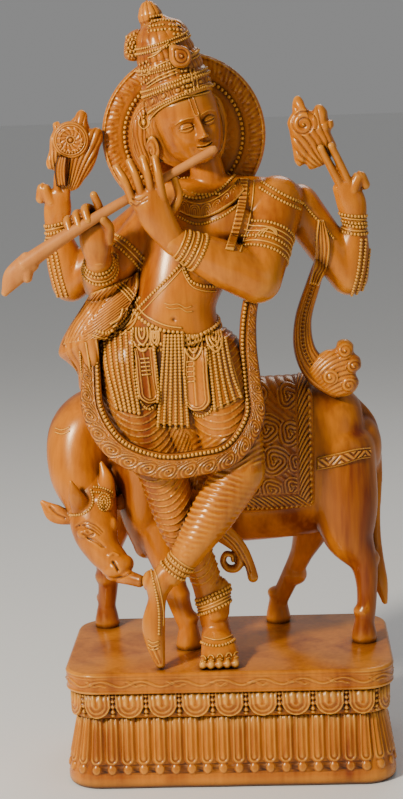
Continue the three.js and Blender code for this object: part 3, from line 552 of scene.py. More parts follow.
# The cow stands behind, from the viewer's left to right, with its neck bent round and its head hanging down
# at the front left. Its barrel, neck and legs are one smooth skin. Its hooves run into the slab.
# Its hollow colour is painted shade, and its rubbed colour is wear with a painted highlight.
cow_wood = wood_finish(
    "cow_wood", 0.0002, 0.6,
    Pale_wood=(0.62, 0.18, 0.004, 1), Dark_wood=(0.17, 0.02, 0.001, 1), Rubbed_wood=(0.86, 0.33, 0.03, 1),
    Hollow_stain=(0.035, 0.0025, 0.0002, 1), Banding=1.0, Stain_strength=1.0, Smoothness=0.28,
)
COW_BARREL = [[-108, 28, 212], [-60, 30, 214], [20, 32, 216], [95, 36, 220], [135, 40, 226], [156, 44, 222]]
COW_GIRTH = [[40, 62], [48, 90], [52, 98], [52, 96], [46, 80], [32, 46]]
COW_NECK = [[-96, 44, 240], [-138, 40, 264], [-166, 26, 256], [-173, 4, 216], [-161, -12, 184]]
COW_NECK_GIRTH = [[46, 72], [48, 62], [44, 48], [37, 38], [31, 30]]
COW_TAIL = [
    [150, 52, 290], [177, 52, 256], [183, 50, 200], [181, 44, 150], [178, 36, 112], [183, 31, 66],
    [188, 28, 38],
]
# the breast, the far and the near front leg, and the far and the near hind leg
COW_LIMBS = [
    ([[-98, 20, 214], [-100, 14, 160], [-98, 20, 118]], [[36, 46], [28, 34], [16, 20]]),
    ([[-130, 52, 160], [-150, 66, 100], [-152, 78, 60], [-156, 84, 24]], [24, 16, 13, 11]),
    ([[-84, 8, 140], [-70, -6, 92], [-60, -12, 58], [-49, -16, 24]], [26, 17, 14, 11]),
    (
        [[112, 58, 196], [104, 64, 132], [88, 74, 88], [74, 82, 58], [58, 89, 24]],
        [[40, 26], [26, 20], 14, 12, 11],
    ),
    (
        [[130, 24, 226], [140, 16, 166], [147, 12, 124], [163, 8, 90], [165, 2, 50], [161, -3, 20]],
        [[50, 38], [42, 32], [31, 27], [16, 16], 12, 12],
    ),
]
HOOVES = [(-156, 84), (-49, -16), (58, 89), (161, -3)]
KNUCKLES = [(-153, 76, 66), (-61, -11, 64), (80, 80, 62), (167, 14, 96)]
cow_form = bmesh.new()
add_limb(cow_form, COW_BARREL, COW_GIRTH, facing=UP, sides=48, steps=50, dome=10)
add_limb(cow_form, COW_NECK, COW_NECK_GIRTH, sides=40)
add_limbs(cow_form, COW_LIMBS)
for x, y in HOOVES:
    add_limb(cow_form, [[x, y, 30], [x, y, 14], [x, y - 1, 4]], [10.5, 14, 16], dome=2)
    add_lump(cow_form, (x, y + 3, 36), (13.5, 14, 8))
    add_lump(cow_form, (x, y + 13, 33), (7, 5, 6))
for knuckle in KNUCKLES:
    add_lump(cow_form, knuckle, (15.5, 16, 14))
add_limb(cow_form, COW_TAIL, [6, 6, 6, 5, 8, 9, 4], steps=60)
place_mesh("cow", carved("cow", cow_form, 2.3, 8), 0.22, cow_wood)


# The cow's head has a broad muzzle, heavy lids, small horns, ears that stand out, and its tongue on the heel.
# Wrinkles run round the eye, and a nostril and a mouth are cut in the muzzle.
COW_SKULL = [
    [-160, -4, 206], [-157, -16, 186], [-156, -28, 163], [-152, -38, 146], [-144, -46, 130], [-131, -53, 116],
]
COW_SKULL_GIRTH = [[27, 26], [28, 27], [28.5, 26], [26, 23], [21, 20], [18, 17]]
# the muzzle, the chin, the brow's two lumps and the forehead: place, size and turn
COW_HEAD_LUMPS = [
    ((-127, -57, 112), (20, 16, 14), (0, -20, 0)),
    ((-129, -54, 102), (14, 12, 8), (0, 0, 0)),
    ((-163, -52, 151), (11, 8, 8), (0, 16, 0)),
    ((-132, -42, 158), (6, 7, 10), (0, 0, 0)),
    ((-144, -38, 184), (14, 9, 12), (0, 0, 0)),
]
COW_TONGUE_AND_EARS = [
    ([[-124, -58, 103], [-112, -68, 101], [-100, -76, 99]], [[11, 8], [8.5, 7.5], [7.5, 6]]),
    ([[-180, -18, 162], [-202, -17, 168], [-218, -14, 182]], [[8, 6], [11.5, 5], [3, 2]]),
    ([[-128, -10, 176], [-114, -4, 184], [-106, 2, 200]], [[8, 6], [11, 5], [3, 2]]),
]
COW_HORNS = [
    ([[-169, -38, 180], [-173, -50, 196], [-178, -52, 214]], [[13, 10], [9, 7], [2, 2]]),
    ([[-141, -26, 192], [-139, -30, 211], [-144, -26, 230]], [[13, 11], [9, 6], [2.5, 2]]),
]
NOSTRIL = [(113, 562), (116, 567), (118, 571)]
MOUTH_LINE = [(101, 574), (110, 578), (122, 577), (131, 572)]
EYE_AND_EAR_LINES = [[(83, 534), (88, 536), (93, 534)], [(50, 507), (57, 514), (65, 518)]]
RAISED_LIDS = [[(85, 531), (88, 530), (92, 532)], [(109, 556), (113, 553), (118, 555)]]
FIRST_WRINKLE = [(76, 527), (84, 522), (95, 525), (103, 532)]
LAST_WRINKLE = [(82.4, 524.44), (87.2, 527.12), (95, 531.4), (99.8, 535.2)]
cow_head_form = bmesh.new()
add_limb(cow_head_form, COW_SKULL, COW_SKULL_GIRTH, sides=40)
for lump in COW_HEAD_LUMPS:
    add_lump(cow_head_form, *lump)
add_limbs(cow_head_form, COW_TONGUE_AND_EARS)
add_limbs(cow_head_form, COW_HORNS, dome=3)
cow_head_mesh = carved("cow_head", cow_head_form, 1.1, 5)
sink_lines(cow_head_mesh, [NOSTRIL], 3.4, 1.3)
sink_lines(cow_head_mesh, [MOUTH_LINE], 1.6, 1.0)
sink_lines(cow_head_mesh, EYE_AND_EAR_LINES, 1.6, 1.2)
sink_lines(cow_head_mesh, RAISED_LIDS, -1.4, 1.4)
for step, wrinkle in enumerate(between(FIRST_WRINKLE, LAST_WRINKLE, 3)):
    sink_lines(cow_head_mesh, [wrinkle, shifted(wrinkle[1:], 2, 15 - 1.6 * step)], 1.1, 0.8)
place_mesh("cow_head", cow_head_mesh, 0.33, cow_wood)


# The player's legs: one carries the weight, the other crosses before it on its toes. A thin wrapped cloth
# shows its folds: rings that sag across the standing leg and both thighs, and finer, slanting ones on the
# shin in front.
STANDING_THIGH = [[-94, -44, 350], [-92, -56, 290], [-70, -64, 226]]
STANDING_SHIN = [[-70, -64, 226], [-52, -56, 160], [-26, -48, 96], [-18, -46, 40]]
CROSSING_THIGH = [[-16, -48, 350], [4, -60, 290], [20, -76, 226]]
CROSSING_SHIN = [[20, -76, 226], [-12, -86, 180], [-44, -92, 134], [-62, -92, 110]]
LEG_LIMBS = [
    (STANDING_THIGH, [[48, 44], [42, 38], [28, 27]]),
    (STANDING_SHIN, [[28, 27], [25, 24], 18, 15]),
    (CROSSING_THIGH, [[46, 44], [41, 38], [29, 27]]),
    (CROSSING_SHIN, [[29, 27], [26, 23], 18, 14]),
]
# the cloth between the thighs and behind them, the crossed foot, and the standing ankle
LEG_FILLINGS = [
    ([[-54, -46, 320], [-44, -54, 262], [-32, -50, 214]], [[56, 40], [34, 28], [14, 14]]),
    ([[-50, -22, 300], [-46, -20, 236]], [[46, 34], [36, 30]]),
    (
        [[-66, -90, 112], [-77, -91, 98], [-80, -92, 80], [-85, -94, 52], [-83, -98, 29], [-78, -100, 6]],
        [[15, 14], [15, 14], [10.5, 11], [13.5, 11], [11, 9], [5.5, 5.5]],
    ),
    ([[-13, -46, 78], [-16, -48, 66], [-15, -48, 54]], [[17, 17], [20, 20], [17, 17]]),
]
CROSSED_HEEL, HEEL_SIZE = (-87, -84, 101), (10, 13, 13)
STANDING_FOOT = [[-14, -44, 44], [-14, -54, 26], [-11, -72, 17], [-10, -90, 9]]
STANDING_FOOT_GIRTH = [[14, 14], [18, 14], [21, 13], [22, 9]]
CROSSED_FOOT_LINES = [[(150, 649), (154, 657), (158, 664)], [(155, 647), (158, 655), (161, 663)]]
legs_form = bmesh.new()
add_limbs(legs_form, LEG_LIMBS, sides=40)
add_limbs(legs_form, LEG_FILLINGS)
add_lump(legs_form, CROSSED_HEEL, HEEL_SIZE)
add_limb(legs_form, STANDING_FOOT, STANDING_FOOT_GIRTH, facing=UP)
for toe in range(5):
    root, tip = [-27 + 8.6 * toe, -92, 8], [-29 + 9.3 * toe, -106 + abs(toe - 1), 5.5]
    add_limb(legs_form, [root, tip], [[4.8, 6], [4.6, 5.4]], facing=UP)
legs_mesh = carved("legs", legs_form, 1.05, 4)
LEG_STATIONS = 50  # places at which the folds' distance from a leg's middle line is measured


def gone_along(points):
    """How far along a line each of its places lies."""
    return np.concatenate([[0], np.cumsum(np.linalg.norm(np.diff(points, axis=0), axis=1))])


def near_line(places, spine):
    """How far places lie from a smooth line, and how far along it, in millimetres."""
    found = stations(spine, LEG_STATIONS)
    line = np.array([station[0] for station in found])
    gone = gone_along(line)
    best = np.full(len(places), 1e9)
    along = np.zeros(len(places))
    for (place, ahead, _, _), distance in zip(found, gone):
        away = np.linalg.norm(places - place, axis=1)
        along = np.where(away < best, distance + (places - place) @ ahead, along)
        best = np.minimum(best, away)
    return best, along


def fold_steps(phase, depth):
    """Folds that rise slowly and drop off sharply, with a thin second groove behind each edge."""
    share = phase % 1
    rise = np.where(share < 0.84, share / 0.84, (1 - share) / 0.16)
    return depth * (rise**1.3 - 0.45 * bump_at(share - 0.62, 0.07) - 0.4)


def leg_cloth(places, facing):
    x, y, z = places.T
    standing = np.minimum(near_line(places, STANDING_THIGH)[0], near_line(places, STANDING_SHIN)[0])
    thigh, thigh_along = near_line(places, CROSSING_THIGH)
    shin, shin_along = near_line(places, CROSSING_SHIN)
    crossing = np.minimum(thigh, shin)
    middle = np.interp(z, [40, 96, 160, 226, 350], [-18, -26, -52, -70, -92])
    across = x - middle
    rings = fold_steps((0.468 * across + 0.0185 * across**2 - z) / 7.6, 1.9) * smooth_step(z, 84, 96)
    along = np.where(thigh < shin, thigh_along - 128, shin_along)
    strength = (0.62 + 0.4 * np.sin(along / 11 + z / 9)) * (0.7 + 0.3 * np.sin(x / 2.9 + along / 5))
    strength = strength * (1 - 0.55 * smooth_step(along, 70, 112))
    slant = (x - np.interp(z, [90, 226], [-62, 20])) * 0.32
    phase = 2 * math.pi * (along + slant) / 6.6 + 0.9 * np.sin(along / 17) + 0.5 * np.sin(x / 5)
    streaks = strength * np.sin(phase)
    upper = fold_steps((0.3 * (x - 6) + 0.016 * (x - 6) ** 2 - z) / 8.2, 1.6)
    crossing_folds = np.where(z > 268, upper, streaks * smooth_step(shin_along + 128 * (thigh < shin), 0, 8))
    crossing_folds = crossing_folds * (1 - smooth_step(shin_along, 118, 132))
    return np.where(crossing < standing, crossing_folds, rings) * smooth_step(-y, 0, 30)


raise_by(legs_mesh, leg_cloth)
sink_lines(legs_mesh, CROSSED_FOOT_LINES, 1.5, 0.8)
place_mesh("legs", legs_mesh, 0.2)


# The body and the arms are bare, polished wood: a slender waist, a soft belly with a small navel, full
# shoulders, and two pairs of round arms that bend sharply at the elbow.
def add_arm(form, shoulder, elbow, wrist, top, bend, thin):
    shoulder, elbow, wrist = (np.array(p, dtype=float) for p in (shoulder, elbow, wrist))
    add_limb(form, [shoulder, (shoulder + elbow) / 2, elbow], [top, (top + bend) / 2, bend], facing=RIGHT)
    add_limb(form, [elbow, elbow * 0.62 + wrist * 0.38, wrist], [bend, bend * 0.96, thin], facing=RIGHT)


TORSO = [[-60, -42, 330], [-54, -46, 384], [-48, -46, 424], [-32, -38, 470], [-8, -30, 516]]
TORSO_GIRTH = [[74, 46], [60, 46], [47, 43], [54, 41], [64, 36]]
# the shoulders from side to side, the hip that is thrown out, and the neck
SHOULDERS_HIP_NECK = [
    ([[-74, -20, 508], [-4, -24, 526], [74, -18, 528]], [[26, 26], [34, 34], [28, 28]]),
    ([[-98, -34, 320], [-118, -34, 372], [-92, -34, 428]], [[36, 36], [36, 34], [24, 26]]),
    ([[-4, -24, 530], [-7, -26, 560], [-14, -28, 590]], [[30, 28], [20, 19], [19, 18]]),
]
# each arm's shoulder, elbow and wrist, and its girth at each
ARMS = {
    "front right": ((70, -22, 528), (46, -74, 446), (-46, -98, 494), 31, 28, 15),
    "back right": ((94, -4, 522), (152, 8, 438), (160, 0, 500), 26, 23, 13),
    "front left": ((-72, -22, 506), (-132, -48, 446), (-131, -90, 476), 28, 23, 14),
    "back left": ((-78, -2, 512), (-174, 8, 440), (-187, 0, 504), 26, 23, 13),
}
CHEST_LUMPS = [((14, -56, 506), (32, 16, 24)), ((-38, -56, 498), (28, 14, 22))]
body_form = bmesh.new()
add_limb(body_form, TORSO, TORSO_GIRTH, sides=48)
add_limbs(body_form, SHOULDERS_HIP_NECK)
for lump in CHEST_LUMPS:
    add_lump(body_form, *lump)
for arm in ARMS.values():
    add_arm(body_form, *arm)
body_mesh = carved("body", body_form, 1.9, 6)


def body_marks(places, facing):
    x, y, z = places.T
    navel = bump_at(np.hypot(x + 49, z - 405), 2.6) * (y < -60)
    fold = bump_at(z - 418 - 3 * np.sin((x + 44) / 14), 1.4) * bump_at(x + 38, 18) * (y < -70)
    return -2.4 * navel - 0.5 * fold


raise_by(body_mesh, body_marks)
place_mesh("body", body_mesh, 0.25)


# The four hands: the front pair plays the flute, its fingers laid over it or curled round it, and the back
# pair holds the emblems up between two long fingers.
def add_finger(form, joints, thickness):
    girth = [thickness * (1.08 - 0.2 * i / (len(joints) - 1)) for i in range(len(joints))]
    add_limb(form, joints, girth, facing=RIGHT, sides=16)


PALMS = [
    ([[-44, -99, 490], [-62, -108, 520], [-72, -111, 546]], [[14, 12], [19, 10], [20, 8]]),
    ([[-131, -90, 472], [-132, -99, 494], [-132, -102, 512]], [[13, 12], [18, 12], [18, 10]]),
    ([[160, -1, 498], [156, -5, 524], [148, -7, 544]], [[13, 10], [17, 10], [14, 8]]),
    ([[-187, -1, 502], [-184, -5, 526], [-181, -7, 544]], [[13, 10], [16, 10], [13, 8]]),
]
RAISED_FINGERS = [(-88, 550, -104, 577), (-77, 553, -90, 583), (-66, 553, -75, 586), (-55, 550, -62, 586)]
CURLED_FINGERS = [(-158, 512), (-148, 518), (-138, 524)]
# the thumbs and the little finger at the flute, then the two long fingers and the thumb of each back hand
OTHER_FINGERS = [
    ([[-50, -102, 522], [-38, -98, 542], [-42, -98, 562]], 5),
    ([[-124, -104, 510], [-126, -108, 534], [-131, -110, 548]], 5),
    ([[-118, -102, 496], [-116, -108, 512], [-122, -114, 522]], 6),
    ([[146, -8, 540], [134, -14, 564], [122, -22, 588]], 5),
    ([[156, -8, 540], [146, -14, 564], [134, -22, 590]], 5),
    ([[158, -8, 538], [166, -8, 554], [172, -4, 544]], 7),
    ([[-183, -8, 538], [-181, -10, 566], [-174, -11, 592]], 5),
    ([[-174, -8, 538], [-170, -10, 566], [-164, -11, 592]], 5),
    ([[-190, -8, 536], [-199, -8, 552], [-203, -4, 540]], 7),
]
PALM_LINES = [[(131, 203), (136, 206), (141, 203), (147, 200)], [(133, 199), (139, 201), (147, 196)]]
hands_form = bmesh.new()
add_limbs(hands_form, PALMS)
for x, z, tip_x, tip_z in RAISED_FINGERS:
    joints = [[x, -111, z - 10], [(x + tip_x) / 2, -117, (z + tip_z) / 2], [tip_x, -112, tip_z]]
    add_finger(hands_form, joints, 5)
for x, z in CURLED_FINGERS:
    joints = [[x + 18, -98, z - 14], [x + 2, -102, z + 8], [x - 3, -113, z + 9], [x, -119, z - 3]]
    add_finger(hands_form, joints, 5.4)
for joints, thickness in OTHER_FINGERS:
    add_finger(hands_form, joints, thickness)
hands_mesh = carved("hands", hands_form, 1.0, 3)
sink_lines(hands_mesh, PALM_LINES, 1.0, 0.8)
place_mesh("hands", hands_mesh, 0.32)


# The head leans to the viewer's left and turns to the right. Its face is a plain, calm one of even
# proportions: half-closed eyes under arched brows, a straight nose and full lips at the flute. It is rubbed
# smoother than the rest. A mark of two lines is cut on the brow.
HEAD_CENTRE = np.array((-27.0, -46, 623))
HEAD_TURN = (4, -17, 22)
head_matrix = np.array(turned(HEAD_TURN))
EYE_ASIDE, EYE_HALF = 13.8, 8.2
# how far a form stands out or sinks in, how far aside its middle is and how wide it is, at what height it is
# and how tall: the nostril's wing and the nostril, the brow bone, the eye's hollow and its inner corner, the
# cheek, the mouth's mound, the chin, and the hollows under the lip, over it and at the mouth's corner
FACE_FORMS = [
    (4.6, 5.0, 2.7, -13.6, 3.0), (-2.2, 3.6, 1.3, -16.8, 1.1), (1.5, 14, 13, 10.5, 3.2),
    (-3.2, 13, 8.5, 1.0, 6.0), (-1.6, 5.6, 2.6, 1.5, 4.5), (2.6, 18, 10, -14, 9), (3.0, 0, 14, -25, 8),
    (4.6, 0, 8.5, -38.5, 5), (-1.7, 0, 9, -33.6, 2.0), (-0.8, 0, 1.4, -19.8, 2.2),
    (-0.9, 12.5, 2.2, -26, 3.0),
]
NOSE_HEIGHTS, NOSE_RISE = [-19, -17, -14, -11, 0, 7, 12, 18], [0, 3.5, 10.5, 11, 6.5, 3, 1.2, 0]


def on_head(right, front, height):
    return HEAD_CENTRE + head_matrix @ np.array((right, -front, height))


def face_relief(right, height):
    """How far the face stands out before the plain egg of the head, in millimetres."""
    aside = np.abs(right)
    nose_half = np.interp(height, [-18, -13, 0, 8, 18], [5.4, 4.6, 3.1, 3.0, 5])
    out = np.interp(height, NOSE_HEIGHTS, NOSE_RISE) * np.exp(-((aside / nose_half) ** 2.4))
    for rise, middle, width, at_height, tall in FACE_FORMS:
        out += rise * np.exp(-(((aside - middle) / width) ** 2) - ((height - at_height) / tall) ** 2)
    # the eye: a ball under a long upper lid and a narrow lower one, with a crease above
    along = (aside - EYE_ASIDE) / EYE_HALF
    open_to = np.clip(1 - along**2, 0, 1)
    tall = 4.6 * open_to**0.8 + 0.01
    out += 3.0 * np.sqrt(np.clip(1 - along**2 - ((height - 0.2) / 5.4) ** 2, 0, 1)) ** 1.2
    upper, lower = 0.2 * open_to + 0.3, 0.1 - 2.5 * open_to**0.8
    inside = smooth_step(upper - height, -0.2, 0.5) * smooth_step(height - lower, -0.2, 0.5) * (open_to > 0)
    out -= 0.9 * inside
    out += 0.7 * bump_at(height - upper - 0.3, 0.7) * (np.abs(along) < 1.12)
    out += 0.35 * bump_at(height - lower + 0.3, 0.6) * (open_to > 0)
    out -= 0.9 * bump_at(height - tall - 0.7, 0.7) * (np.abs(along) < 1.0) * (height > 0.8)
    # brows, lips and the mark on the forehead
    brow = 10.6 - 3.6 * ((aside - 13) / 12) ** 2
    out += 0.9 * bump_at(height - brow, 0.9) * smooth_step(aside, 3, 5) * (1 - smooth_step(aside, 24, 26))
    mouth = -25.6 + 0.018 * right**2
    lip = height - mouth - 2.1 + 0.5 * bump_at(right, 2)
    out += 1.9 * bump_at(lip, 1.5) * (1 - smooth_step(aside, 6, 10))
    out += 2.3 * bump_at(height - mouth + 2.6, 1.9) * (1 - smooth_step(aside, 4, 8.6))
    out -= 1.7 * bump_at(height - mouth, 0.75) * (1 - smooth_step(aside, 8, 10.5))
    bend = bump_at(np.hypot(right, height - 13) - 2.6, 0.6)
    return out + 0.9 * np.where(height > 13, bump_at(aside - 2.6, 0.6), bend) * (height > 9)


HEAD_HEIGHTS = [-46, -45, -42, -38, -32, -24, -14, -4, 6, 16, 28, 40, 48, 52]
HEAD_HALF = [0, 11, 19, 24, 29, 33, 35.5, 36.5, 37, 36.5, 34.5, 27, 15, 0]
HEAD_FRONT = [12, 25, 31, 32, 32, 32.5, 33, 34, 35, 35, 34, 27, 15, 0]


def head_lay(around, up):
    # more than half of the columns lie across the face
    angle = (around - 0.5) * 2 * math.pi
    angle = angle - 0.72 * np.sin(angle)
    height = np.interp(up, [0, 0.06, 0.94, 1], [-46, -43, 46, 52])
    half, front = np.interp(height, HEAD_HEIGHTS, HEAD_HALF), np.interp(height, HEAD_HEIGHTS, HEAD_FRONT)
    right = half * np.sin(angle)
    ahead = np.cos(angle)
    depth = np.where(ahead > 0, front * np.abs(ahead) ** 0.86, -half * np.abs(ahead))
    shown = smooth_step(ahead, 0.12, 0.5)
    depth = depth + face_relief(right, height) * shown * smooth_step(height, -45.5, -41)
    return (HEAD_CENTRE + np.stack([right, -depth, height], axis=1) @ head_matrix.T + LIFT).T


place_wrapped("head", 300, 220, head_lay, 0.36)


# The hair lies behind the face in a broad mass of waved locks, down to the shoulders and back to the halo.
# It is one with the head.
def hair_lay(around, up):
    angle = (around - 0.5) * 2 * math.pi
    height = -52 + 92 * up
    swell = rounded(((height + 6) / 47.5) ** 2)
    right, ahead = 47 * swell * np.sin(angle), np.cos(angle)
    depth = np.where(ahead > 0, 11, 43) * ahead * swell - 7
    locks = 1.3 * ripple(angle * 15 + 0.9 * np.sin(height / 8), 0.7)
    grow = 1 + 0.021 * (locks + 0.5 * np.sin(height / 1.7 + 9 * angle))
    return (HEAD_CENTRE + np.stack([right * grow, -depth * grow, height], axis=1) @ head_matrix.T + LIFT).T


place_wrapped("hair", 300, 110, hair_lay, 0.34)


# The halo is a round shield behind the head, of the same block: petals are cut round its middle, then come
# two plain rings and a rim of fine rays. Its back is plain.
HALO_CENTRE = np.array((-35.0, 6, 607))
# radius and depth, from the middle of the back over the rim to the middle of the front
HALO_SECTION = [
    (0, 6), (30, 6), (60, 6), (92, 6), (94.5, 3), (94.5, -3), (92, -6), (84, -7), (60, -5), (30, -5), (0, -5),
]


def halo_lay(around, out):
    angle = around * 2 * math.pi
    shares = np.linspace(0, 1, len(HALO_SECTION))
    radius, depth = (np.interp(out, shares, row) for row in np.array(HALO_SECTION, dtype=float).T)
    leaf = ((angle * 32 / (2 * math.pi)) % 1 - 0.5) * 2
    tongue = ripple((radius - 76) / 4.2 - leaf**2 * 1.6 + 0.4 * np.sin(angle * 9))
    rays = (0.9 * tongue + 0.7 * ripple(angle * 48 + radius / 5)) * smooth_step(radius, 74, 78)
    petal = 0.7 * ripple((radius - 40) / 5 + np.abs(leaf) * 1.2) * (1 - smooth_step(radius, 60, 62))
    rings = 1.1 * bump_at(radius - 73.5, 0.9) + 1.1 * bump_at(radius - 62.5, 0.9)
    rim = 1.4 * bump_at(radius - 91.5, 1.3)
    depth = depth - np.where(depth < 0, rays + petal + (rings + rim), 0)
    x = HALO_CENTRE[0] + radius * np.sin(angle)
    z = HALO_CENTRE[2] + radius * np.cos(angle) + PLINTH_TOP
    return x, HALO_CENTRE[1] + depth, z


place_wrapped("halo", 416, 130, halo_lay, 0.3)


# Beads and raised lines are cut out of the same block wherever a string or a band lies on the figure. A
# string is laid where the photograph shows it, or right round a limb. Each is a ball or a rod sunk into the
# skin.
def photo_ray(across, down):
    ray = camera_ahead + camera_right * ((across - PHOTO_WIDTH / 2) / FOCAL)
    return (ray - camera_up * ((down - PHOTO_HEIGHT / 2) / FOCAL)).normalized()


def skins(*pieces):
    graph = bpy.context.evaluated_depsgraph_get()
    return [BVHTree.FromObject(bpy.data.objects[piece], graph) for piece in pieces]


def nearest_hit(trees, start, ray):
    best = None
    for tree in trees:
        place, facing, _, distance = tree.ray_cast(start, ray)
        if place is not None and (best is None or distance < best[2]):
            best = (place, facing, distance)
    return best


def evenly(points, pitch):
    points = np.array(points, dtype=float)
    gone = gone_along(points)
    count = max(2, int(round(gone[-1] / pitch)) + 1)
    wanted = np.linspace(0, gone[-1], count)
    return np.stack([np.interp(wanted, gone, points[:, i]) for i in range(3)], axis=1)


LONGEST_JUMP = 14  # past this step a line drawn over the skins is broken


def in_photo(trees, path, lift=0.0):
    """The runs of places on the skins under a smooth line through photo pixels."""
    pixels = [np.array((px, py, 0.0)) for px, py in path]
    length = sum(float(np.linalg.norm(b - a)) for a, b in zip(pixels, pixels[1:]))
    runs, run = [], []
    for share in np.linspace(0, 1, max(4, int(length * 1.5))):
        px, py, _ = on_line(pixels, share)
        found = nearest_hit(trees, CAMERA_PLACE, photo_ray(px, py))
        place = None if found is None else np.array(found[0] + found[1] * lift * MM) / MM
        if place is not None and (not run or np.linalg.norm(place - run[-1]) < LONGEST_JUMP):
            run.append(place)
        else:
            runs.append(run)
            run = [place] if place is not None else []
    runs.append(run)
    return [np.array(each) - LIFT for each in runs if len(each) > 2]


def round_limb(trees, centre, axis, reach):
    """A closed line on the skin round a limb, looked for outwards from the limb's middle."""
    axis = np.array(axis, dtype=float) / np.linalg.norm(axis)
    first = np.cross(axis, FRONT if abs(axis[1]) < 0.9 else UP)
    first /= np.linalg.norm(first)
    second = np.cross(axis, first)
    start = Vector((np.array(centre) + LIFT) * MM)
    line = []
    for angle in np.linspace(0, 2 * math.pi, 73):
        ray = first * math.cos(angle) + second * math.sin(angle)
        hits = [tree.ray_cast(start, Vector(ray))[3] for tree in trees]
        near = [hit / MM for hit in hits if hit is not None and hit / MM < reach]
        distance = max(near) if near else reach
        line.append(np.array(start) / MM + ray * distance)
    return np.array(line) - LIFT


def ball(sides, rings):
    form = bmesh.new()
    bmesh.ops.create_uvsphere(form, u_segments=sides, v_segments=rings, radius=1)
    bmesh.ops.triangulate(form, faces=form.faces)
    form.verts.index_update()
    corners = np.array([vert.co[:] for vert in form.verts])
    faces = np.array([[vert.index for vert in face.verts] for face in form.faces])
    form.free()
    return corners, faces


BALL, SMALL_BALL = ball(7, 5), ball(6, 4)
SMALL_BEAD = 2.55  # up to this radius a bead has fewer faces
CORD_SIDES = 6


def bead_parts(places, radius):
    corners, faces = BALL if radius > SMALL_BEAD else SMALL_BALL
    places = np.asarray(places)
    moved = places[:, None, :] + corners[None] * radius
    shifts = (np.arange(len(places)) * len(corners))[:, None, None]
    return [(moved.reshape(-1, 3), (faces[None] + shifts).reshape(-1, 3))]


def beads_on(runs, radius, gap):
    return [part for run in runs for part in bead_parts(evenly(run, radius * 2 * gap), radius)]


def cord(line, radius, closed=False):
    """A raised line as a thin round rod along its places."""
    line, sides = np.asarray(line), CORD_SIDES
    ahead = np.gradient(line, axis=0)
    if closed:
        ahead[0] = ahead[-1] = line[1] - line[-2]
    ahead /= np.maximum(np.linalg.norm(ahead, axis=1), 1e-6)[:, None]
    first = np.cross(ahead, FRONT + UP * 0.3)
    first /= np.maximum(np.linalg.norm(first, axis=1), 1e-6)[:, None]
    second = np.cross(ahead, first)
    angles = np.arange(sides) * 2 * math.pi / sides
    ring = first[:, None] * np.cos(angles)[None, :, None] + second[:, None] * np.sin(angles)[None, :, None]
    corners = (line[:, None] + ring * radius).reshape(-1, 3)
    count = len(line)
    faces = []
    for i in range(count - 1):
        for j in range(sides):
            a, b = i * sides + j, i * sides + (j + 1) % sides
            faces += [(a, b, a + sides), (b, b + sides, a + sides)]
    ends = [line[0], line[-1]]
    for end, base in enumerate((0, (count - 1) * sides)):
        for j in range(sides):
            faces.append((base + j, base + (j + 1) % sides, count * sides + end))
    return [(np.concatenate([corners, ends]), np.array(faces))]


def heap(name, parts):
    """One piece of many small parts."""
    counts = np.cumsum([0] + [len(corners) for corners, _ in parts])
    corners = np.concatenate([corners for corners, _ in parts]) + LIFT
    faces = np.concatenate([faces + count for (_, faces), count in zip(parts, counts)])
    mesh = bpy.data.meshes.new(name)
    mesh.vertices.add(len(corners))
    mesh.vertices.foreach_set("co", (corners * MM).ravel())
    mesh.loops.add(3 * len(faces))
    mesh.loops.foreach_set("vertex_index", faces.ravel().astype(np.int32))
    mesh.polygons.add(len(faces))
    mesh.polygons.foreach_set("loop_start", np.arange(0, 3 * len(faces), 3, dtype=np.int32))
    mesh.update(calc_edges=True)
    form = bmesh.new()
    form.from_mesh(mesh)
    bmesh.ops.recalc_face_normals(form, faces=form.faces)
    form.to_mesh(mesh)
    form.free()
    place_mesh(name, mesh)


def seen_beads(trees, path, radius, gap=0.86):
    return beads_on(in_photo(trees, path), radius, gap)


def seen_line(trees, path, radius):
    runs = [run for run in in_photo(trees, path, radius * 0.2) if len(run) > 3]
    return [part for run in runs for part in cord(evenly(run, 2), radius)]


def seen_strings(trees, beads, lines=()):
    """Bead strings and raised lines, each given by its radius and its path through photo pixels."""
    parts = []
    for radius, path in beads:
        parts += seen_beads(trees, path, radius)
    for radius, path in lines:
        parts += seen_line(trees, path, radius)
    return parts


def bead_patch(trees, corners, pitch, radius):
    """Beads in staggered rows over the four-sided patch between photo pixels."""
    (a, b), (c, d) = [[np.array(pixel, dtype=float) for pixel in side] for side in corners]
    rows = int(max(np.linalg.norm(c - a), np.linalg.norm(d - b)) / pitch) + 1
    columns = int(max(np.linalg.norm(b - a), np.linalg.norm(d - c)) / pitch) + 1
    places = []
    for row in range(rows):
        for column in range(columns):
            down, across = row / max(rows - 1, 1), (column + 0.5 * (row % 2)) / columns
            px, py = (a + (b - a) * across) * (1 - down) + (c + (d - c) * across) * down
            found = nearest_hit(trees, CAMERA_PLACE, photo_ray(px, py))
            if found is not None:
                places.append(np.array(found[0]) / MM - LIFT)
    return bead_parts(places, radius)


def ring_beads(trees, centre, axis, radius, reach=90):
    return bead_parts(evenly(round_limb(trees, centre, axis, reach), radius * 1.75)[:-1], radius)


def ring_line(trees, centre, axis, radius, reach):
    return cord(evenly(round_limb(trees, centre, axis, reach), 3), radius, closed=True)


# The crown follows the head's lean: a jewelled band, a dome of bead rows, a crest at each side and a bud on
# top.
def foot_arch(angle, height, arch):
    return arch * (np.cos(angle) - 0.3) * np.clip(1 - height / 34, 0, 1)


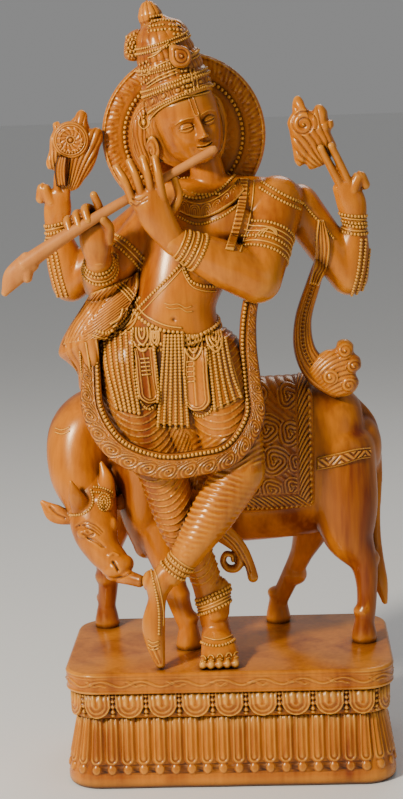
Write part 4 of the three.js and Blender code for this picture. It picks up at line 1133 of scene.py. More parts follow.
def turned_lay(centre, turn, profile, relief, arch=0):
    """Places round an upright profile of radius and height; the form may lean and its foot may arch."""
    radii, heights = np.array(profile, dtype=float).T
    lengths = np.concatenate([[0], np.cumsum(np.hypot(np.diff(radii), np.diff(heights)))])
    matrix = np.array(turned(turn))

    def lay(around, up):
        angle = around * 2 * math.pi
        radius = np.interp(up * lengths[-1], lengths, radii)
        height = np.interp(up * lengths[-1], lengths, heights)
        ends = (up > 0.001) & (up < 0.999)
        radius = (radius + relief(angle, height, radius)) * ends
        height = height + foot_arch(angle, height, arch)
        local = np.stack([radius * np.sin(angle), -radius * np.cos(angle), height], axis=1)
        return (local @ matrix.T + np.array(centre) + LIFT).T

    return lay


def bead_row(along, across, middle, radius, pitch):
    beside = (along / pitch % 1 - 0.5) * pitch
    return np.sqrt(np.clip(radius**2 - beside**2 - (across - middle) ** 2, 0, None))


def crown_relief(angle, height, radius):
    frame_row = 1.0 * bump_at(height - 5.4, 0.8) + 1.0 * bump_at(height - 15.6, 0.8)
    beside = ((angle / 0.46 + 0.5) % 1 - 0.5) * 0.46 * 38
    away = np.hypot(beside, height - 10.5)
    jewel = 2.2 * rounded((away / 3.4) ** 2) + 0.9 * bump_at(away - 4.8, 0.8)
    jewel = jewel + 0.8 * bump_at(np.abs(beside) - 7.4, 0.7) * (height > 5.4) * (height < 15.6)
    petals = 1.8 * ripple(angle * 14, 0.6) * bump_at(height - 34, 5.0)
    upper = 1.8 * np.abs(np.cos(angle * 12)) ** 0.6 * bump_at(height - 54, 6.0)
    top = 1.6 * ripple(angle * 8, 0.6) * bump_at(height - 79, 6.0)
    return frame_row + jewel + petals + upper + top


# radius and height, from the foot's middle to the top's
CROWN_TIERS = [
    (0, -3), (37, -3), (38.5, 0), (39.5, 4), (38, 6), (38, 15), (39.5, 17), (40, 21), (38, 26), (35.5, 29),
    (35, 40), (36.5, 44), (35, 48), (32, 51), (31, 59), (32, 65), (30, 71), (26, 77), (20, 85), (14, 90),
    (0, 93),
]
CROWN_TURN = (2, -18, 22)
CROWN_ARCH = 11  # how far the band swings up over the brow
# each row's height and its beads' radius
CROWN_ROWS = [(2, 1.6), (18.5, 1.9), (23.5, 1.6), (41, 1.5), (45.5, 1.9), (64, 1.8), (69, 1.5)]
crown_base = on_head(0, -3, 27)
crown_lay = turned_lay(crown_base, CROWN_TURN, CROWN_TIERS, crown_relief, CROWN_ARCH)
place_wrapped("crown", 336, 170, crown_lay, 0.36)
crown_matrix = np.array(turned(CROWN_TURN))
tier_radii, tier_heights = np.array(CROWN_TIERS, dtype=float).T
angle = np.linspace(0, 2 * math.pi, 120)
crown_beads = []
for height, radius in CROWN_ROWS:
    rise = height + foot_arch(angle, height, CROWN_ARCH)
    reach = np.interp(height, tier_heights, tier_radii) + 0.4
    row = np.stack([reach * np.sin(angle), -reach * np.cos(angle), rise], axis=1)
    crown_beads += bead_parts(evenly(row @ crown_matrix.T + crown_base, radius * 1.8)[:-1], radius)
heap("crown_beads", crown_beads)


def bud_relief(angle, height, radius):
    return 1.2 * ripple(angle * 5, 0.6) * (radius > 3) + 1.4 * bump_at(height - 12, 1.6)


BUD_TIERS = [
    (0, -6), (15, -4), (17, 2), (15, 8), (10.5, 12), (12.5, 17), (12.5, 23), (9, 31), (5, 36), (0, 39),
]
BUD_PLACE, BUD_TURN = (-61, -46, 721), (0, -12, 0)
bud_lay = turned_lay(BUD_PLACE, BUD_TURN, BUD_TIERS, bud_relief)
place_wrapped("crown_bud", 130, 76, bud_lay, 0.5)


def flat_form(name, centre, turn, outline, thickness, relief, columns=120, rows=40):
    """A flat form with an outline given as radius for each angle, a carved front and a plain back."""
    matrix = np.array(turned(turn))

    def lay(around, out):
        angle = around * 2 * math.pi
        share = 1 - np.abs(out * 2 - 1)
        reach = outline(angle)
        swell = rounded(share**6)
        across, height = share * reach * np.sin(angle), share * reach * np.cos(angle)
        front_depth = -thickness / 2 * swell - relief(across, height, share) * swell
        local = np.stack([across, np.where(out < 0.5, front_depth, thickness / 2 * swell), height], axis=1)
        return (local @ matrix.T + np.array(centre) + LIFT).T

    place_wrapped(name, columns, rows * 2, lay, 0.5)


def on_plane(across, down, depth):
    """The place, in the figure's millimetres, where the sight line through a pixel meets an upright plane."""
    ray = photo_ray(across, down)
    place = CAMERA_PLACE + ray * ((depth * MM - CAMERA_PLACE.y) / ray.y)
    return np.array(place) / MM - LIFT


def cut_plate(name, edge, depth, thickness, belly, relief, columns=200, rows=44, keep=0.5, soft=6):
    """A plate with its edge on a smooth line through photo pixels and a carved front that swells."""
    corners = [on_plane(px, py, depth) for px, py in edge]
    line = np.array([on_line(corners + corners[:1], share) for share in np.linspace(0, 1, columns + 1)])
    centre = line.mean(axis=0)

    def lay(around, out):
        at_station = np.clip(np.round(around * columns).astype(int), 0, columns)
        front = out < 0.8
        share = np.where(front, out / 0.8, (1 - out) / 0.2)
        place = centre + (line[at_station] - centre) * share[:, None]
        swell = rounded(share**soft)
        x, _, z = place.T
        height = thickness / 2 * swell + belly * (1 - share**2) + relief(x, z, share) * swell
        return x, depth + np.where(front, -height, thickness / 2 * swell), z + PLINTH_TOP

    place_wrapped(name, columns, rows, lay, keep)


def crest_relief(across, height, share):
    angle = np.arctan2(across, height)
    beads = bump_at(share - 0.84, 0.07) * (0.4 + 0.6 * ripple(angle * 12))
    rings = 1.5 * bump_at(share - 0.6, 0.07) + 1.6 * bump_at(share - 0.34, 0.07)
    return 2.0 * beads + rings + 2.5 * bump_at(share, 0.16)


def crest_about(middle_x, middle_z):
    return lambda x, z, share: crest_relief(x - middle_x, z - middle_z, share)


def leaf_relief(across, height, share):
    return 1.5 * np.abs(np.cos(share * 8.2)) ** 0.7 + 2.0 * bump_at(share, 0.2)


LEFT_CREST = [
    (126, 36), (132, 31), (140, 29), (145, 36), (144, 50), (139, 60), (130, 61), (125, 58), (124, 47),
]
RIGHT_CREST = [
    (161, 13), (170, 17), (180, 20), (187, 27), (190, 36), (184, 44), (172, 40), (164, 33), (158, 24),
]
INNER_CREST_PLACE_AND_TURN = (-57, -70, 722), (-24, -18, 22)
JEWEL_PLACE_AND_TURN = on_head(2, 33, 77), (-8, -40, 22)
# the four corners of each patch of pearls, the rows' pitch and a pearl's radius
PEARL_PATCHES = [
    ([[(179, 66), (190, 65)], [(184, 92), (196, 89)]], 4.6, 2.3),
    ([[(151, 17), (164, 15)], [(150, 31), (167, 29)]], 4.2, 2.0),
    ([[(127, 37), (138, 33)], [(127, 56), (138, 55)]], 4.2, 2.0),
    ([[(166, 20), (178, 22)], [(172, 34), (188, 35)]], 4.4, 2.1),
    ([[(137, 66), (150, 60)], [(142, 84), (152, 76)]], 4.6, 1.9),
]
BAND_LINE = [(147, 88), (157, 81), (168, 76), (178, 72)]
SIDE_LINE = [(-4, 68), (-1, 78), (1, 89)]
DOME_LINE = [(148, 58), (155, 55), (161, 50)]


def leaf_edge(angle):
    return 12.5 * (1 + 0.35 * np.exp(-((np.mod(angle + math.pi, 2 * math.pi) - math.pi) / 0.4) ** 2))


def wavy_edge(angle):
    return 13 + 0.8 * ripple(angle * 6)


cut_plate("left_crest", LEFT_CREST, -50, 22, 4, crest_about(-85, 708), keep=0.35)
cut_plate("right_crest", RIGHT_CREST, -46, 22, 5, crest_about(-38, 724), keep=0.35)
flat_form("inner_crest", *INNER_CREST_PLACE_AND_TURN, wavy_edge, 15, crest_relief)
flat_form("leaf_jewel", *JEWEL_PLACE_AND_TURN, leaf_edge, 9, leaf_relief, 110, 30)
crests = skins("crown", "left_crest", "right_crest", "inner_crest", "crown_bud")
pearls = [part for patch in PEARL_PATCHES for part in bead_patch(crests, *patch)]
crown_lines = [(1.1, shifted(BAND_LINE, 0, -shift)) for shift in (0, 3.6, 15)]
crown_lines += [(1.2, shifted(SIDE_LINE, across, 0)) for across in (197, 193)]
crown_lines += [(1.1, shifted(DOME_LINE, shift, -shift)) for shift in (0, 4, 8)]
heap("crown_pearls", pearls + seen_strings(crests, [], crown_lines))


# The wheel and the conch stand on the back fingers, each before a plate of folded cloth that hangs to the
# hand. All are cut in one with the hands. A short folded stem joins the wheel's cloth with its fingers.
def wheel_relief(across, height, share):
    away = np.hypot(across, height)
    angle = np.arctan2(across, height)
    rings = 1.4 * bump_at(away - 19.6, 0.9) + 1.3 * bump_at(away - 17, 0.8) + 0.9 * bump_at(away - 12.6, 0.8)
    leaves = 0.9 * ripple(angle * 6 + away / 3) * smooth_step(away, 5, 7)
    leaves = leaves * (1 - smooth_step(away, 14, 16))
    beads = 1.8 * ripple(angle * 14) * bump_at(away - 14.6, 1.2) * (height < -4)
    hub = 1.2 * bump_at(away - 4.6, 0.8) + 2.5 * rounded((away / 2.6) ** 2)
    return rings + leaves + beads + hub


WHEEL_EDGE = [
    (75, 116), (78, 111), (82, 109), (87, 113), (88, 121), (91, 128), (97, 127), (102, 130), (103, 140),
    (100, 148), (98, 156), (94, 167), (89, 175), (84, 181), (78, 189), (70, 192), (62, 190), (55, 184),
    (54, 171), (48, 169), (46, 163), (49, 151), (50, 138), (53, 130), (53, 123), (58, 121), (63, 125),
    (69, 122),
]
CONCH_EDGE = [
    (292, 112), (292, 104), (294, 97), (298, 95), (303, 100), (305, 106), (312, 110), (316, 105), (321, 104),
    (327, 110), (329, 119), (333, 120), (334, 126), (331, 131), (334, 139), (337, 147), (333, 155),
    (326, 164), (318, 168), (310, 170), (305, 165), (299, 167), (295, 163), (292, 148), (289, 132),
    (287, 122),
]
EMBLEM_DEPTH = -8
WHEEL_HAND = on_plane(62, 214, EMBLEM_DEPTH)
CONCH_MOUTH, CONCH_HAND = on_plane(303.5, 124, EMBLEM_DEPTH), on_plane(345, 192, EMBLEM_DEPTH)
WHEEL_CENTRE, WHEEL_RADIUS = on_plane(71, 140, -16), 21.5


def from_place(x, z, place):
    """How far and in which direction places on a plate lie from one of them."""
    return np.hypot(x - place[0], z - place[2]), np.arctan2(x - place[0], z - place[2])


def wheel_rim(angle):
    return WHEEL_RADIUS + 0 * angle


def wheel_folds(x, z, share):
    """Folds that spread upwards from the fingers."""
    away, angle = from_place(x, z, WHEEL_HAND)
    return 1.7 * ripple(angle * 44 + 0.3 * np.sin(away / 8), 0.8) * smooth_step(away, 4, 20)


def conch_relief(x, z, share):
    """Rings round the mouth of the shell, and folds that run down to the fingers."""
    away, angle = from_place(x, z, CONCH_MOUTH)
    turns = 1.9 * ripple(away / 2.3 - angle / 2, 0.8) + 3 * bump_at(away, 2.5)
    folds = 1.7 * ripple(from_place(x, z, CONCH_HAND)[1] * 30 + 0.4 * np.sin(z / 6), 0.8)
    near = 1 - smooth_step(away + 4 * (z < CONCH_MOUTH[2] - 6), 15, 18)
    return turns * near + folds * (1 - near)


cut_plate("wheel_cloths", WHEEL_EDGE, EMBLEM_DEPTH, 13, 2, wheel_folds, 340, 56)
flat_form("wheel", WHEEL_CENTRE, (0, 0, 0), wheel_rim, 9, wheel_relief, 160, 50)
cut_plate("conch", CONCH_EDGE, EMBLEM_DEPTH, 17, 3, conch_relief, 340, 56)


def band_mesh(name, spine, widths, thickness, relief, pitch=1.0, keep=0.6):
    """A flat band along a smooth line, with relief on its face, a plain back and rounded sides."""
    line = [np.array(p, dtype=float) for p in spine]
    length = float(sum(np.linalg.norm(b - a) for a, b in zip(line, line[1:])))
    columns = max(12, int(length / pitch))
    found = stations(spine, columns + 1)
    centre, _, out, side = (np.array([station[i] for station in found]) for i in range(4))
    gone = gone_along(centre)
    width = np.array(sizes_along([(w, thickness) for w in widths], columns + 1))[:, 0]
    face_rows, back_rows = max(6, int(max(widths) / pitch)), 6
    rows = face_rows + back_rows
    face_share = face_rows / rows

    def lay(along, around):
        at_station = np.clip(np.round(along * columns).astype(int), 0, columns)
        front = around <= face_share + 1e-6
        on_back = (around - face_share) / (1 - face_share)
        across = np.where(front, around / face_share * 2 - 1, 1 - on_back * 2)
        half = width[at_station] / 2
        edge = rounded(np.abs(across) ** 6)
        ends = rounded(np.abs(along * 2 - 1) ** 40)
        height = relief(across * half, gone[at_station], half, gone[-1])
        depth = np.where(front, thickness / 2 + height, -thickness / 2) * edge * ends
        place = centre[at_station] - side[at_station] * (across * half)[:, None]
        return (place + out[at_station] * depth[:, None] + LIFT).T

    place_wrapped(name, columns, rows, lay, keep)


def long_folds(across, along, half, length):
    edge = bump_at(np.abs(across) - half + 1.5, 1)
    return 1.3 * ripple(across / half * 7 + 0.5 * np.sin(along / 9)) + 1.0 * edge


STEM_PLACES = [(63, 156, -18), (61, 170, -18), (62, 186, -16)]  # a pixel of the photograph and its depth
band_mesh("wheel_stem", [on_plane(*place) for place in STEM_PLACES], [12, 15, 13], 9, long_folds)


# The scarf hangs in a deep loop before the thighs, cut free of them at its sides. It has a bead row along its
# inner side and leaves rolled up in fine turns along its outer one.
SCARF = [
    [62, -66, 474], [56, -60, 462], [38, -60, 420], [33, -62, 375], [36, -74, 328], [38, -90, 292],
    [12, -103, 254], [-26, -109, 244], [-70, -109, 242], [-118, -102, 262], [-144, -86, 302],
    [-146, -72, 344], [-144, -54, 388],
]
SCARF_WIDTHS = [14, 18, 18, 20, 22, 25, 28, 30, 31, 30, 27, 22, 18]
SCARF_THICKNESS = 9
SCARF_STATIONS = 160
SCARF_BEADS = 2.3


def scarf_relief(across, along, half, length):
    """A line and a bead row along the inner side, and leaves rolled up in fine turns along the outer one."""
    inner = across + half
    lines = 1.3 * bump_at(inner - 8.6, 0.8) + 1.0 * bump_at(inner - 1.2, 0.9)
    groove = 1.2 * bump_at(inner - 6.8, 0.8)
    cell = along % 22.0
    middle = 8.6 + (2 * half - 8.6) * 0.55
    reach = np.maximum(half - 4.6, 4)
    aside, up = (cell - 9) * 0.9, inner - middle
    long_way, short_way = 0.74 * aside + 0.67 * up, 0.74 * up - 0.67 * aside
    narrowing = 0.72 + 0.25 * smooth_step(long_way, -reach, reach)
    away = np.hypot(long_way / 1.35, short_way / narrowing) / reach
    angle = np.arctan2(short_way, long_way)
    rolled = 1.8 * ripple(away * 9.4 - angle * 0.5, 0.75) * (away < 1.0) + 1.4 * bump_at(away, 0.16)
    strokes = 1.6 * ripple((cell * 0.8 - up * 1.2 + 0.05 * up**2) / 1.4, 0.8) * (away >= 1.0)
    return lines - groove + (rolled + strokes) * smooth_step(inner, 9.4, 10.4)


band_mesh("scarf", SCARF, SCARF_WIDTHS, SCARF_THICKNESS, scarf_relief, pitch=0.7, keep=0.54)
scarf_half = np.array(sizes_along(SCARF_WIDTHS, SCARF_STATIONS))[:, 0] / 2
scarf_inner = []
for (place, _, out, side), half in zip(stations(SCARF, SCARF_STATIONS), scarf_half):
    scarf_inner.append(place + side * (half - 4) + out * (SCARF_THICKNESS * 0.6))
heap("scarf_beads", beads_on([np.array(scarf_inner)], SCARF_BEADS, 1.0))


# A ribbon blows out to the viewer's right: it comes from behind the elbow, with beads along its middle. Its
# broad end is cut in four curled lobes over the cow's back.
RIBBON = [
    [126, 2, 474], [110, 2, 430], [97, 4, 386], [99, 6, 350], [114, 6, 326], [136, 6, 312], [150, 6, 306],
]
RIBBON_WIDTHS = [14, 17, 20, 26, 34, 36, 20]
RIBBON_END = [
    (316, 356), (326, 350), (335, 348), (338, 341), (346, 339), (353, 344), (354, 352), (360, 358),
    (361, 367), (356, 373), (359, 382), (355, 391), (346, 396), (332, 395), (318, 385), (308, 370),
]
RIBBON_END_DEPTH = 4
LOBES = [on_plane(*pixel, RIBBON_END_DEPTH) for pixel in [(345, 349), (354, 365), (349, 384), (330, 376)]]


def ribbon_relief(across, along, half, length):
    lines = 1.2 * bump_at(np.abs(across) - 3.8, 0.8) + 1.2 * bump_at(np.abs(across) - half * 0.62, 0.9)
    return bead_row(along, across, 0, 2, 4.6) + lines + 1.1 * bump_at(np.abs(across) - half * 0.85, 0.9)


def lobes_relief(x, z, share):
    """A curl of fine turns on each lobe of the ribbon's end."""
    aways = np.array([np.hypot(x - lobe[0], z - lobe[2]) for lobe in LOBES])
    centre = np.array([(lobe[0], lobe[2]) for lobe in LOBES])[aways.argmin(axis=0)]
    away = aways.min(axis=0)
    turn = np.arctan2(x - centre[:, 0], z - centre[:, 1])
    fine = ripple((z - 0.6 * x) / 1.9 + 0.02 * (x - 130) ** 2 / 3, 0.8)
    curl = ripple(away / 1.7 - turn / 2, 0.8)
    knob = 1.6 * bump_at(away, 2) + 1.8 * (1 - smooth_step(away, 6, 11))
    return 1.3 * np.where(away < 9.5, curl, fine) + knob


band_mesh("right_ribbon", RIBBON, RIBBON_WIDTHS, 12, ribbon_relief, pitch=0.8)
cut_plate("ribbon_end", RIBBON_END, RIBBON_END_DEPTH, 15, 3, lobes_relief, 220, 50)


# Two narrow ribbons come out behind the crossed legs, under the cow's belly: one hangs down, and one is
# curled up at its end. Both have lines cut along them.
BELLY_RIBBON = [(214, 526), (230, 537), (242, 551), (250, 566), (253, 577)]
BELLY_RIBBON_GIRTH = [[11, 7], [9.5, 6], [8, 6], [6, 6], [6.5, 7]]
BELLY_CURL = [
    (216, 533), (228, 541), (238, 549), (241, 559), (236, 568), (228, 568), (223, 561), (226, 554),
    (232, 555), (233, 560),
]
BELLY_CURL_GIRTH = [
    [8, 6], [7, 6], [6.5, 7], [5.5, 8], [5, 8], [4.5, 8], [4, 7], [3.5, 7], [3, 6.5], [2.5, 6],
]
BELLY_LINES = [
    [(222, 531), (236, 543), (246, 560), (250, 572)],
    [(216, 531), (232, 545), (243, 562), (248, 574)],
]
belly_form = bmesh.new()
add_limb(belly_form, [on_plane(*pixel, -28) for pixel in BELLY_RIBBON], BELLY_RIBBON_GIRTH)
add_limb(belly_form, [on_plane(*pixel, -26) for pixel in BELLY_CURL], BELLY_CURL_GIRTH)
belly_mesh = carved("belly_ribbons", belly_form, 1.0, 2)
sink_lines(belly_mesh, BELLY_LINES, 1.3, 0.8)
place_mesh("belly_ribbons", belly_mesh, 0.4)


# The skirt's ornament hangs from a bead girdle: panels of bead ropes on a raised bed, two tongues with a
# round end and a bead edge, and loops nested in each other under the girdle. All are cut in relief on the
# thighs.
def laid_sheet(name, trees, sides, thickness, relief, fineness, drop=5):
    """A thin carved sheet over the skins, between two lines through photo pixels, with relief on its face."""
    left, right = ([np.array((px, py, 0.0)) for px, py in side] for side in sides)
    tall = max(sum(np.linalg.norm(b - a) for a, b in zip(side, side[1:])) for side in (left, right))
    wide = max(np.linalg.norm(a - b) for a, b in zip(left, right))
    rows, columns = max(8, int(tall * 1.1 / fineness)), max(6, int(wide * 1.1 / fineness))
    rays = np.empty((rows + 1, columns + 1, 3))
    depth = np.full((rows + 1, columns + 1), np.nan)
    for i in range(rows + 1):
        a, b = on_line(left, i / rows), on_line(right, i / rows)
        for j in range(columns + 1):
            px, py, _ = a + (b - a) * j / columns
            ray = photo_ray(px, py)
            rays[i, j] = ray
            found = nearest_hit(trees, CAMERA_PLACE, ray)
            if found is not None:
                depth[i, j] = found[2] / MM
    # the sheet rests on the highest places and bridges the hollows
    middle = np.nanmedian(depth)
    depth = np.where(np.isnan(depth), middle, np.clip(depth, middle - 40, middle + 40))
    skin_depth = depth
    for turn in range(60):
        padded = np.pad(depth, 1, mode="edge")
        depth = (padded[:-2, 1:-1] + padded[2:, 1:-1] + padded[1:-1, :-2] + padded[1:-1, 2:]) / 4
        if turn < 45:
            depth = np.minimum(depth, skin_depth)
    places = np.array(CAMERA_PLACE) / MM + rays * depth[..., None]
    out = np.cross(np.gradient(places, axis=0), np.gradient(places, axis=1))
    out /= np.linalg.norm(out, axis=2)[..., None]
    across_step = np.linalg.norm(np.gradient(places, axis=1), axis=2)
    along_step = np.linalg.norm(np.gradient(places, axis=0), axis=2)
    across = np.cumsum(across_step, axis=1) - across_step
    across -= across[:, -1:] / 2
    along = np.cumsum(along_step, axis=0) - along_step
    half, length = np.abs(across[:, -1:]) + 0 * across, along[-1:] + 0 * along
    height = relief(across, along, half, length)

    def lay(around, down):
        i = np.clip(np.round(down * rows).astype(int), 0, rows)
        front = around <= 0.5
        j = np.clip(np.round(np.where(front, around * 2, 2 - around * 2) * columns).astype(int), 0, columns)
        rim = (i == 0) | (i == rows) | (j == 0) | (j == columns)
        near_rim = (i <= 1) | (i >= rows - 1) | (j <= 1) | (j >= columns - 1)
        lift = np.maximum(thickness + height[i, j], -drop * 0.8)
        lift = np.where(rim, -drop * 0.5, np.where(near_rim, np.minimum(lift, thickness * 0.7), lift))
        lift = np.where(front | rim, lift, -drop)
        return (places[i, j] + out[i, j] * lift[:, None]).T

    place_wrapped(name, 2 * columns, rows, lay, 0.6)


def plain(across, along, half, length):
    return 0 * across


def tongue_relief(across, along, half, length):
    """Two lines round a tongue's edge and a ridge down its middle; past its round end it sinks away."""
    past = np.maximum(along - (length - half), 0)
    away = half - np.hypot(across, past)
    lines = 1.6 * bump_at(away - 2.0, 0.9) + 1.5 * bump_at(away - 5.0, 0.9)
    ridge = 1.8 * bump_at(across, 1.6) * (away > 7)
    return lines + ridge - 20 * smooth_step(-away, -0.4, 0.6)


# each sheet's left and right side in the photograph, and how far it stands out
BEDS = {
    "left_bed": ([(101, 332), (104, 370), (114, 408)], [(134, 330), (134, 370), (140, 414)], 2.2),
    "middle_bed": ([(163, 334), (160, 380), (157, 424)], [(184, 334), (187, 380), (190, 426)], 3.4),
    "right_bed": ([(205, 336), (208, 375), (214, 410)], [(226, 338), (236, 372), (243, 396)], 2.2),
}
TONGUES = {
    "left_tongue": ([(134, 348), (136, 376), (139, 404)], [(156, 346), (158, 374), (160, 404)], 5.5),
    "right_tongue": ([(182, 348), (184, 378), (188, 411)], [(207, 346), (209, 376), (213, 411)], 5.5),
}
# the first and the last rope over each bed, how many there are, their beads' radius and how far the hem sags
ROPE_SETS = [
    ([(103, 333), (108, 371), (117, 408)], [(132, 331), (133.5, 371), (139, 413)], 6, 2.5, 0),
    ([(165, 336), (161.5, 381), (158, 426)], [(182, 336), (185, 381), (188, 426)], 6, 2.4, 1.5),
    ([(208, 346), (211.5, 377), (215, 410)], [(225, 338), (233, 377), (241, 397)], 5, 2.4, 0),
]
ROPE_GAP = 0.76
TONGUE_EDGES = [
    (2.2, [(134, 352), (137, 380), (141, 402), (149, 409), (157, 402), (157, 376), (154, 350)]),
    (2.2, [(182, 348), (185, 380), (189, 408), (200, 416), (211, 410), (209, 378), (206, 350)]),
]
# a nest of loops by its top's middle, its half width, its height and how far its foot swings aside
LOOP_NESTS = [(142, 327, 8.5, 24, 1), (192, 334, 8.5, 25, 2), (213, 330, 7, 22, 3), (155, 330, 4, 18, 0)]
LEFT_RUNGS = between([(140, 359), (150, 358)], [(141.6, 375), (151.6, 374)], 5)
RIGHT_RUNGS = between([(186, 362), (194, 361)], [(187.2, 382), (195.2, 381)], 5)
CLASP = [(3.0, [(176, 360), (177, 362), (177, 364)]), (3.0, [(177, 371), (178, 373)])]
GIRDLE_MIDDLE = (-52, -44)
GIRDLE_TILT = (14, -8, 0)
GIRDLE_ROWS = [(391, 3.0), (384.5, 2.6)]  # a row's height and its beads' radius


def nested_loops(trees, px, py, wide, tall, lean):
    """Three loops, one inside the other, that hang from the girdle round a bead."""
    parts = []
    for share in (1, 0.64, 0.3):
        half, low = wide * share, tall * (0.3 + 0.7 * share)
        turn = lean * low / tall
        left, right = (px - half + 0.6 * turn, py + low * 0.6), (px + half + 0.6 * turn, py + low * 0.6)
        parts += seen_line(trees, [(px - half, py), left, (px + turn, py + low), right, (px + half, py)], 1.7)
    return parts + seen_beads(trees, [(px, py + 2), (px + 0.1 * lean, py + 3)], 2.2)


thighs = skins("legs", "body")
for sheets, relief, fineness in ((BEDS, plain, 0.9), (TONGUES, tongue_relief, 0.7)):
    for name, (left, right, thickness) in sheets.items():
        laid_sheet(name, thighs, (left, right), thickness, relief, fineness)
beds, tongues = skins("legs", "body", *BEDS), skins("legs", "body", *TONGUES)
ropes = []
for first, last, count, radius, sag in ROPE_SETS:
    for step, rope in enumerate(between(first, last, count)):
        rope[-1, 1] += sag * math.sin(3 * step / (count - 1))
        ropes += seen_beads(beds, rope, radius, ROPE_GAP)
ropes += seen_strings(tongues, TONGUE_EDGES)
fronts = skins("legs", "body", "left_bed", "right_bed", *TONGUES)
for nest in LOOP_NESTS:
    ropes += nested_loops(fronts, *nest)
rungs = [(1.2, rung) for rung in LEFT_RUNGS] + [(1.0, rung) for rung in RIGHT_RUNGS]
ropes += seen_strings(fronts, CLASP, rungs)
girdle_axis = np.array(turned(GIRDLE_TILT)) @ (0, 0, 1)
for height, radius in GIRDLE_ROWS:
    ropes += ring_beads(skins("body"), (*GIRDLE_MIDDLE, height), girdle_axis, radius)
heap("girdle_and_ropes", ropes)


# A loose cloth is drawn up on the hip under the elbow and falls to the thigh: one full mass, with two thin
# sheets of fine folds over it, a bead string and a line along its edges, and leaf strokes beside the belly.
HIP_EDGE = [
    (88, 297), (102, 288), (120, 277), (138, 268), (152, 276), (150, 292), (140, 308), (128, 322), (112, 334),
    (103, 342), (101, 362), (98, 385), (88, 398), (80, 390), (77, 372), (68, 363), (59, 355), (60, 345),
    (70, 325), (80, 310),
]
HIP_DEPTH = -36
HIP_GATHER = on_plane(97, 282, HIP_DEPTH)
HIP_DRAPE = ([(93, 292), (80, 312), (69, 330), (62, 346)], [(140, 272), (139, 290), (124, 314), (104, 338)])
HIP_CORNER = ([(66, 338), (66, 352), (78, 372), (86, 400)], [(97, 332), (99, 350), (99, 376), (97, 404)])
HIP_LEAVES = between([(139, 312), (134, 324), (122, 335)], [(123, 308), (119.6, 318), (110, 324.6)], 5)
HIP_CREASE = [(114, 284), (123, 292), (131, 301)]
HIP_STRINGS = [
    (2.4, [(97, 331), (106, 333), (114, 329), (122, 320), (131, 309), (140, 298)]),
    (2.9, [(131, 306), (139, 317), (150, 325), (165, 331), (182, 333)]),
    (1.8, [(80, 352), (82, 374), (86, 398)]),
]
HIP_LINES = [
    (1.2, [(92, 335), (105, 338), (115, 334), (125, 324), (137, 309)]),
    (1.2, [(136, 303), (144, 314), (155, 321), (168, 326), (182, 328)]),
    (1.4, [(86, 342), (89, 362), (91, 382), (93, 404)]),
]


def hip_relief(x, z, share):
    """Folds that spread from under the elbow down to the loose edge, and a plain face beside the belly."""
    away, angle = from_place(x, z, HIP_GATHER)
    angle = angle % (2 * math.pi)
    folds = ripple(angle * 13 + 0.25 * np.sin(away / 9), 0.7)
    return 1.8 * folds * smooth_step(angle, 3.2, 3.6) * smooth_step(away, 8, 26)


def drape_relief(across, along, half, length):
    """Fine folds drawn together under the elbow, and long leaf strokes between them lower down."""
    folds = 1.5 * ripple(across / half * 17 + 0.6 * np.sin(along / 8), 0.75)
    leaves = 1.3 * ripple((along + 1.1 * np.abs(across)) / 2.3, 0.8)
    near_edge = smooth_step(across / half, -0.2, 0.1) * smooth_step(along, length * 0.1, length * 0.3)
    return folds * (1 - near_edge) + leaves * near_edge + 1.6 * bump_at(across / half - 0.93, 0.05)


cut_plate("hip_cloth", HIP_EDGE, HIP_DEPTH, 34, 26, hip_relief, 260, 70, soft=3)
hip_pieces = ["hip_cloth", "body", "legs", "left_bed"]
hip = skins(*hip_pieces)
laid_sheet("hip_drape", hip, HIP_DRAPE, 2.0, drape_relief, 0.75, drop=3)
laid_sheet("hip_corner", hip, HIP_CORNER, 1.8, long_folds, 0.75)
hip = skins(*hip_pieces, "hip_drape", "hip_corner")
strokes = [(1.2, shifted(HIP_CREASE, shift, -shift / 3)) for shift in (0, 3.4, 6.8)]
strokes += [(1.5, leaf) for leaf in HIP_LEAVES]
heap("hip_strokes", seen_strings(hip, HIP_STRINGS, HIP_LINES + strokes))


# A cloth lies over the cow's back, with a leafy border down its side and along its lower edge, and rolled
# leaves over its field. A belt with a scroll runs from it round the rump.
CLOTH_FROM, CLOTH_TO = -40, 106  # its two ends along the cow
CLOTH_SIDE, CLOTH_FOOT = 104, 168  # where its side border starts, and its lower edge's height
CLOTH_REACH = 2.15  # how far it goes round the barrel on each side, as an angle
# the middle and the size of each rolled leaf
ROLLED_LEAVES = [
    (78, 296, 15), (52, 262, 17), (80, 256, 16), (60, 226, 18), (86, 222, 12),
    (40, 300, 14), (36, 232, 14), (80, 194, 13), (54, 192, 13), (30, 194, 12),
]
RUMP_BELT = (
    [(316, 471), (341, 466), (359, 460), (371, 458)],
    [(316, 457), (340, 452), (358, 448), (371, 447)],
)


def barrel_lay(low, high, reach, thickness, relief):
    """A sheet over the barrel, from one place along it to another, hanging equally far on both sides."""
    centre = np.array([station[0] for station in stations(COW_BARREL, 121, UP)])
    size = np.array(sizes_along(COW_GIRTH, 121))

    def lay(along, around):
        x = low + along * (high - low)
        here = np.array([np.interp(x, centre[:, 0], centre[:, i]) for i in range(3)])
        half_width, half_height = (np.interp(x, centre[:, 0], size[:, i]) for i in range(2))
        outer = around <= 0.9
        turn = np.where(outer, around / 0.9, (1 - around) / 0.1)
        angle = reach * (2 * turn - 1)
        edges = [rounded(np.abs(share * 2 - 1) ** 40) for share in (turn, along)]
        face = relief(x, here[2] + half_height * np.cos(angle))
        lift = np.where(outer, (thickness + face) * (edges[0] * edges[1]), -5)
        y = here[1] - (half_width + lift) * np.sin(angle)
        return x, y, here[2] + (half_height + lift) * np.cos(angle) + PLINTH_TOP

    return lay


